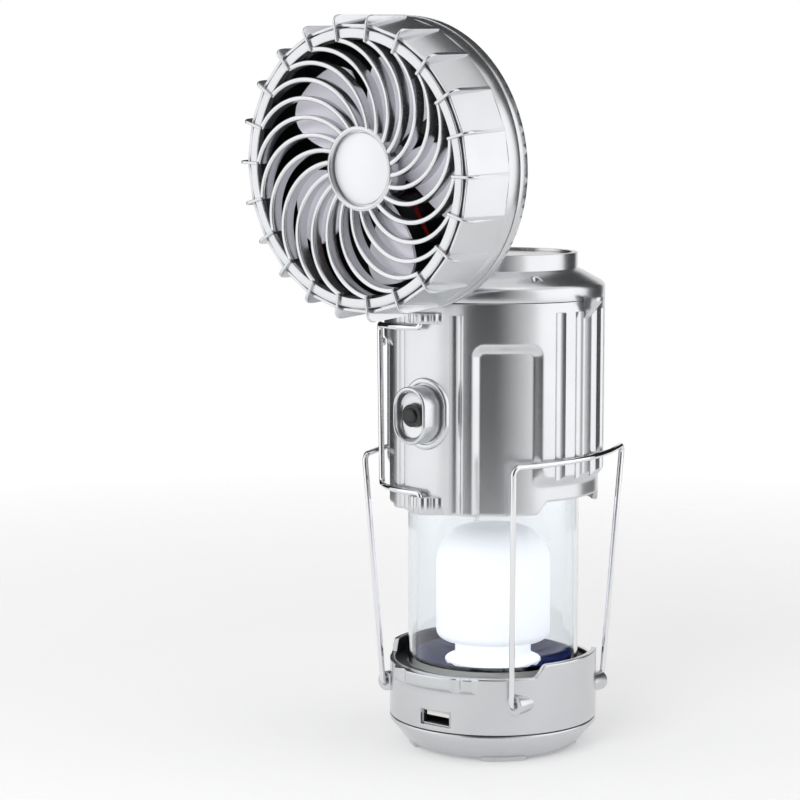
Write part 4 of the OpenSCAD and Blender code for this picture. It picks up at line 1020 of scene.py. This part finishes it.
# %% Grille
VANE_R, VANE_OFFSET, VANE_W, VANE_DEPTH = 24.05, 24.94, 1.85, 5.4
VANE_FROM, VANE_SWEEP, VANE_STEPS = -27.4, 118.5, 30
VANE_START = FIRST_RIB - 13.6
HUB_DROP, HUB_BACK_DROP = 3.85, 2.0
DISH_R, DISH_WIDTH = 47.5, 32.6
half = VANE_W / 2
SECTION = rounded([(VANE_R - half, 0.25, 0.6), (VANE_R + half, 0.25, 0.6),
                   (VANE_R + half * 0.7, -VANE_DEPTH, 0.2),
                   (VANE_R - half * 0.7, -VANE_DEPTH, 0.2)], steps=3)
HUB_RING = rounded([(13.95, -3.7, 0.25), (14.8, -3.3, 0.35), (15.9, -3.8, 0.5), (15.9, -7.4, 0),
                    (12.2, -7.4, 0), (12.2, -6.1, 0), (13.95, -6.1, 0)], steps=3)
HUB_PLATE = rounded([(0.02, -5.1, 0), (13.35, -5.2, 0.3), (13.35, -6.05, 0), (0.02, -6.05, 0)],
                    steps=3)

bm = bmesh.new()
ring = [bm.verts.new((0, r * MM, z * MM)) for r, z in SECTION]
edges = [bm.edges.new(pair) for pair in zip(ring, ring[1:] + ring[:1])]
turn_about_axis(bm, ring, VANE_FROM)
bmesh.ops.spin(bm, geom=ring + edges, cent=(0, 0, 0), axis=(0, 0, -1),
               angle=math.radians(VANE_SWEEP), steps=VANE_STEPS)
close_ends(bm)
bmesh.ops.translate(bm, vec=(0, VANE_OFFSET * MM, 0), verts=bm.verts)
for v in bm.verts:
    inward = (DISH_R * MM - Vector((v.co.x, v.co.y)).length) / (DISH_WIDTH * MM)
    back = clamped(-v.co.z / (VANE_DEPTH * MM))
    v.co.z -= inward * (HUB_DROP * (1 - back) + HUB_BACK_DROP * back) * MM
repeat_round(bm, RIBS, VANE_START)
turned(bm, HUB_RING)
fan_piece(bm, "grille_vanes", "fan_grille")

bm = bmesh.new()
turned(bm, HUB_PLATE)
fan_piece(bm, "hub_plate", "hub_disc", finish="satin_trim")

# %% [markdown]
# ## Fan blades
# Five broad blades are moulded with their hub in pale polypropylene. Each starts as a flat grid
# that is bent into part of a helical surface with well rounded corners, and is then given its
# thickness as a wall. One blade is made, and repeated round the hub.

# %% Rotor
BLADES, BLADE_R, BLADE_T, TIP_ROUND = 5, 44.0, 1.1, 5.5
BLADE_FROM, BLADE_HALF, BLADE_SWELL, BLADE_SWEEP = 20, 17, 8, 7
BLADE_LEVEL, BLADE_PITCH, BLADE_CUP = -14.2, 3.9, 0.9
HUB_R = 11.0
HUB = rounded([(0.05, -8.6, 0), (HUB_R - 3, -8.6, 1.5), (HUB_R, -10.5, 1.5), (HUB_R, -19.5, 0.3),
               (9.5, -19.5, 0), (9.5, -17, 0), (0.05, -17, 0)])

bm = bmesh.new()
bmesh.ops.create_grid(bm, x_segments=16, y_segments=14, size=1)
for v in bm.verts:
    chord, along = v.co.x, (v.co.y + 1) / 2
    tip = BLADE_R - TIP_ROUND * abs(chord) ** 4
    r = HUB_R - 1 + (tip - HUB_R + 1) * along
    half_angle = BLADE_HALF + BLADE_SWELL * math.sin(along * 2.4)
    azimuth = math.radians(BLADE_FROM + chord * half_angle + BLADE_SWEEP * along)
    z = BLADE_LEVEL - BLADE_PITCH * chord - BLADE_CUP * chord ** 2
    v.co = Vector((math.sin(azimuth) * r, math.cos(azimuth) * r, z)) * MM
bmesh.ops.recalc_face_normals(bm, faces=bm.faces)
bmesh.ops.solidify(bm, geom=everything(bm), thickness=BLADE_T * MM)
repeat_round(bm, BLADES, 0)
turned(bm, HUB, 64)
fan_piece(bm, "rotor_blades", "fan_rotor")

# %% [markdown]
# ## Lamp shade
# The frosted shade is one lathe shape: a flange, a neck, straight sides and a low dome. The dome
# is a quarter of an ellipse on a flat crown, typed as a formula, the rest as rounded corners.

# %% Shade
SHADE_R, NECK_R, FLANGE_R = 23.0, 15.3, 19.4
DOME_LOW, DOME_TOP, CROWN_R, DOME_STEPS = 73.5, 88.9, 9.5, 12
DOME = [(CROWN_R + (SHADE_R - CROWN_R) * math.cos(math.radians(90 * i / DOME_STEPS)),
         DOME_LOW + (DOME_TOP - DOME_LOW) * math.sin(math.radians(90 * i / DOME_STEPS)), 0)
        for i in range(DOME_STEPS + 1)]

bm = bmesh.new()
turned(bm, rounded([(0.02, 33.5, 0), (FLANGE_R, 33.5, 0), (FLANGE_R, 34.7, 0.7),
                    (NECK_R, 36.0, 1.6), (NECK_R, 43.0, 0.8), (SHADE_R, 43.0, 3.5)] + DOME
                   + [(0.02, DOME_TOP, 0)]))
finish_faces(bm)
make_piece(bm, "shade_shell", "lamp_shade")

# %% [markdown]
# ## Tube
# The tube is cut from extruded stock, so its ends are square. A tiny bevel there would spoil the
# view: smooth shading tilts the normals at both ends, the long faces between them carry the tilt
# along, and the glass would bend everything behind it. The wall is drawn 1.3 mm thick.

# %% Tube
TUBE_R, TUBE_WALL, TUBE_LOW, TUBE_TOP = 34.3, 1.3, 33.05, 112.3

bm = bmesh.new()
turned(bm, [(TUBE_R - TUBE_WALL, TUBE_LOW), (TUBE_R, TUBE_LOW), (TUBE_R, TUBE_TOP),
            (TUBE_R - TUBE_WALL, TUBE_TOP)], 192)
finish_faces(bm)
make_piece(bm, "thin_tube", "lamp_tube")

# %% [markdown]
# ## Dish
# The plated dish under the shade is pressed into petals, which throw the light out in rays. Its
# outline is spun in few steps and left in flat facets, with every second ridge lowered a little.

# %% Dish
PETALS, PETAL_DROP = 16, 0.8
PETAL_IN_R, PETAL_OUT_R = 20, 29
DISH = [(15.6, 33.05), (31.9, 33.05), (31.9, 37.2), (31.3, 37.2), (27.5, 35.2), (21, 34.2),
        (15.6, 34.0)]

bm = bmesh.new()
turned(bm, DISH, 2 * PETALS)
for v in bm.verts:
    r = Vector((v.co.x, v.co.y)).length / MM
    spoke = round(math.degrees(math.atan2(v.co.y, v.co.x)) / (180 / PETALS))
    if spoke % 2 and PETAL_IN_R < r < PETAL_OUT_R and v.co.z > 34 * MM:
        v.co.z -= PETAL_DROP * MM
finish_faces(bm)
dish = make_piece(bm, "lamp_dish", "lamp_reflector")
dish.data.shade_flat()

# %% [markdown]
# ## Floor
# The floor is a pale sheet that turns clear with distance, so the background has no edge and the
# object keeps its shadow. Light Path nodes lift it a little for the camera and for mirrors only:
# that brightens what is seen without throwing more light on the object.

# %% Floor
FLOOR_M = 4

def ray_is_seen(tree):
    """1 for rays from the camera and for what metal and glass show, 0 for light on matt."""
    path = add_node(tree, "ShaderNodeLightPath")
    total = path.outputs["Is Camera Ray"]
    for kind in ("Is Glossy Ray", "Is Transmission Ray"):
        joined = add_node(tree, "ShaderNodeMath", {"operation": "ADD", "use_clamp": True})
        tree.links.new(total, joined.inputs[0])
        tree.links.new(path.outputs[kind], joined.inputs[1])
        total = joined.outputs["Value"]
    return total


def fade_to_clear(tree, shader, share):
    """Where the share is 1, the surface is gone."""
    clear = add_node(tree, "ShaderNodeBsdfTransparent")
    mixed = add_node(tree, "ShaderNodeMixShader", None, {"Fac": share})
    tree.links.new(shader.outputs["BSDF"], mixed.inputs[1])
    tree.links.new(clear.outputs["BSDF"], mixed.inputs[2])
    tree.links.new(mixed.outputs["Shader"], tree.nodes["Material Output"].inputs["Surface"])


def floor_material():
    """Pale paper that fades out, so that far away only the white world is left."""
    material, tree, shader = new_material("pale floor", {
        "Base Color": linear("#f4f4f4"), "Roughness": 0.9, "Emission Color": (1, 1, 1, 1)})
    place = add_node(tree, "ShaderNodeTexCoord")
    far = add_node(tree, "ShaderNodeVectorMath", {"operation": "LENGTH"},
                   {"Vector": place.outputs["Object"]})
    fade = add_node(tree, "ShaderNodeMapRange", {"From Min": 0.25, "From Max": 0.75},
                    {"Value": far.outputs["Value"]})
    lift = add_node(tree, "ShaderNodeMapRange", {"To Min": 0.0, "To Max": 0.2},
                    {"Value": ray_is_seen(tree)})
    tree.links.new(lift.outputs["Result"], shader.inputs["Emission Strength"])
    fade_to_clear(tree, shader, fade.outputs["Result"])
    return material


bm = bmesh.new()
bmesh.ops.create_grid(bm, x_segments=1, y_segments=1, size=FLOOR_M / 2)
plane = add_object("floor", to_mesh(bm, "floor", floor_material()))
print("floor", FLOOR_M, "m wide")

# %% [markdown]
# ## Black cards
# Polished metal shows what stands round it, and in a white room it would look white. Black cards
# give it dark stripes: one in front fades out to its right, so the stripe that it makes fades
# too, two stand behind it left and right, and one hangs high behind and darkens the fan's upper
# faces. Only mirrors see them: they cast no shadow and don't show through the clear tube.

# %% Black cards
CAMERA_AZIMUTH = 37.5
CARD_RADIUS = 1.1
CARD_PAPER = {"Base Color": linear("#0c0c0d"), "Roughness": 0.95}
# Each card's start, fade and end count in degrees from the camera, its low and high in metres
CARDS = {"front": (-32, 4, 42, -0.2, 1.5), "right": (111, 150, 150, -0.1, 1.1),
         "left": (-175, -121, -121, -0.1, 1.1), "high": (120, 240, 240, 0.55, 1.9)}

def fading_card(fade, end):
    """Black card that turns clear between two azimuths, so that its image has a soft edge."""
    material, tree, shader = new_material("fading black card", CARD_PAPER)
    place = add_node(tree, "ShaderNodeTexCoord")
    axes = add_node(tree, "ShaderNodeSeparateXYZ", None, {"Vector": place.outputs["Object"]})
    turn = add_node(tree, "ShaderNodeMath", {"operation": "ARCTAN2"})
    tree.links.new(axes.outputs["Y"], turn.inputs[0])
    tree.links.new(axes.outputs["X"], turn.inputs[1])
    first, last = (math.radians(CAMERA_AZIMUTH + angle - 90) for angle in (fade, end))
    share = add_node(tree, "ShaderNodeMapRange", {"From Min": first, "From Max": last},
                     {"Value": turn.outputs["Value"]})
    fade_to_clear(tree, shader, share.outputs["Result"])
    return material


plain_card = new_material("black card", CARD_PAPER)[0]
for name, (start, fade, end, low, high) in CARDS.items():
    bm = bmesh.new()
    ends = [bm.verts.new(around(CAMERA_AZIMUTH + start, CARD_RADIUS, z)) for z in (low, high)]
    edge = bm.edges.new(ends)
    bmesh.ops.spin(bm, geom=ends + [edge], cent=(0, 0, 0), axis=(0, 0, 1),
                   angle=math.radians(end - start), steps=16)
    paper = plain_card if fade == end else fading_card(fade, end)
    card = add_object("card_" + name, to_mesh(bm, "card_" + name, paper))
    card.visible_camera = False
    card.visible_shadow = False
    card.visible_diffuse = False
    card.visible_transmission = False
print("cards:", sorted(CARDS))

# %% [markdown]
# ## Lamps
# Soft lamps left, right and above lend the metal its bright stripes. They are faint, because a
# lamp doesn't hide the white world behind it: a mirror sees the two added up, and strong lamps
# clip whole panels to white. The fill lamp is brighter but hidden from mirrors, so it lights
# only matt surfaces, such as the blades behind their grille.

# %% Lamps
AIM_AT = Vector((0, 0, 0.15))
# Turn from the camera in degrees, distance and height in m, width and height of the lamp, watts
LAMPS = {"left": (-80, 0.9, 0.3, 0.8, 1.0, 0.9), "right": (75, 0.9, 0.3, 1.1, 1.0, 1.8),
         "top": (20, 0.3, 1.2, 0.7, 0.7, 0.6), "fill": (-25, 1.0, 0.4, 0.6, 0.6, 4.5)}
for name, (turn, distance, up, width, height, watts) in LAMPS.items():
    lamp_data = bpy.data.lights.new("lamp_" + name, "AREA")
    lamp_data.shape = "RECTANGLE"
    lamp_data.size = width
    lamp_data.size_y = height
    lamp_data.energy = watts
    lamp = add_object("lamp_" + name, lamp_data)
    lamp.location = around(CAMERA_AZIMUTH + turn, distance, up)
    lamp.rotation_euler = (lamp.location - AIM_AT).to_track_quat("Z", "Y").to_euler()
    lamp.visible_camera = False
    lamp.visible_glossy = name != "fill"
print("lamps:", {name: lamp[-1] for name, lamp in LAMPS.items()}, "W")

# %% [markdown]
# ## World
# The photograph's background is white. The world is white for the camera, mirrors and glass, and
# dimmer for the light that falls on matt surfaces, so that these keep some shape. The Standard
# view transform keeps white and the finishes at the values that were picked for them.

# %% World and view settings
def studio_world():
    """White where the camera or a mirror sees it, and dimmer for everything else."""
    world = bpy.data.worlds.new("studio")
    world.use_nodes = True
    tree = world.node_tree
    strength = add_node(tree, "ShaderNodeMapRange", {"To Min": 0.6, "To Max": 1.0},
                        {"Value": ray_is_seen(tree)})
    background = tree.nodes["Background"]
    background.inputs["Color"].default_value = (1, 1, 1, 1)
    tree.links.new(strength.outputs["Result"], background.inputs["Strength"])
    return world


scene.world = studio_world()
scene.view_settings.view_transform = "Standard"
print("world:", scene.world.name, "view:", scene.view_settings.view_transform)
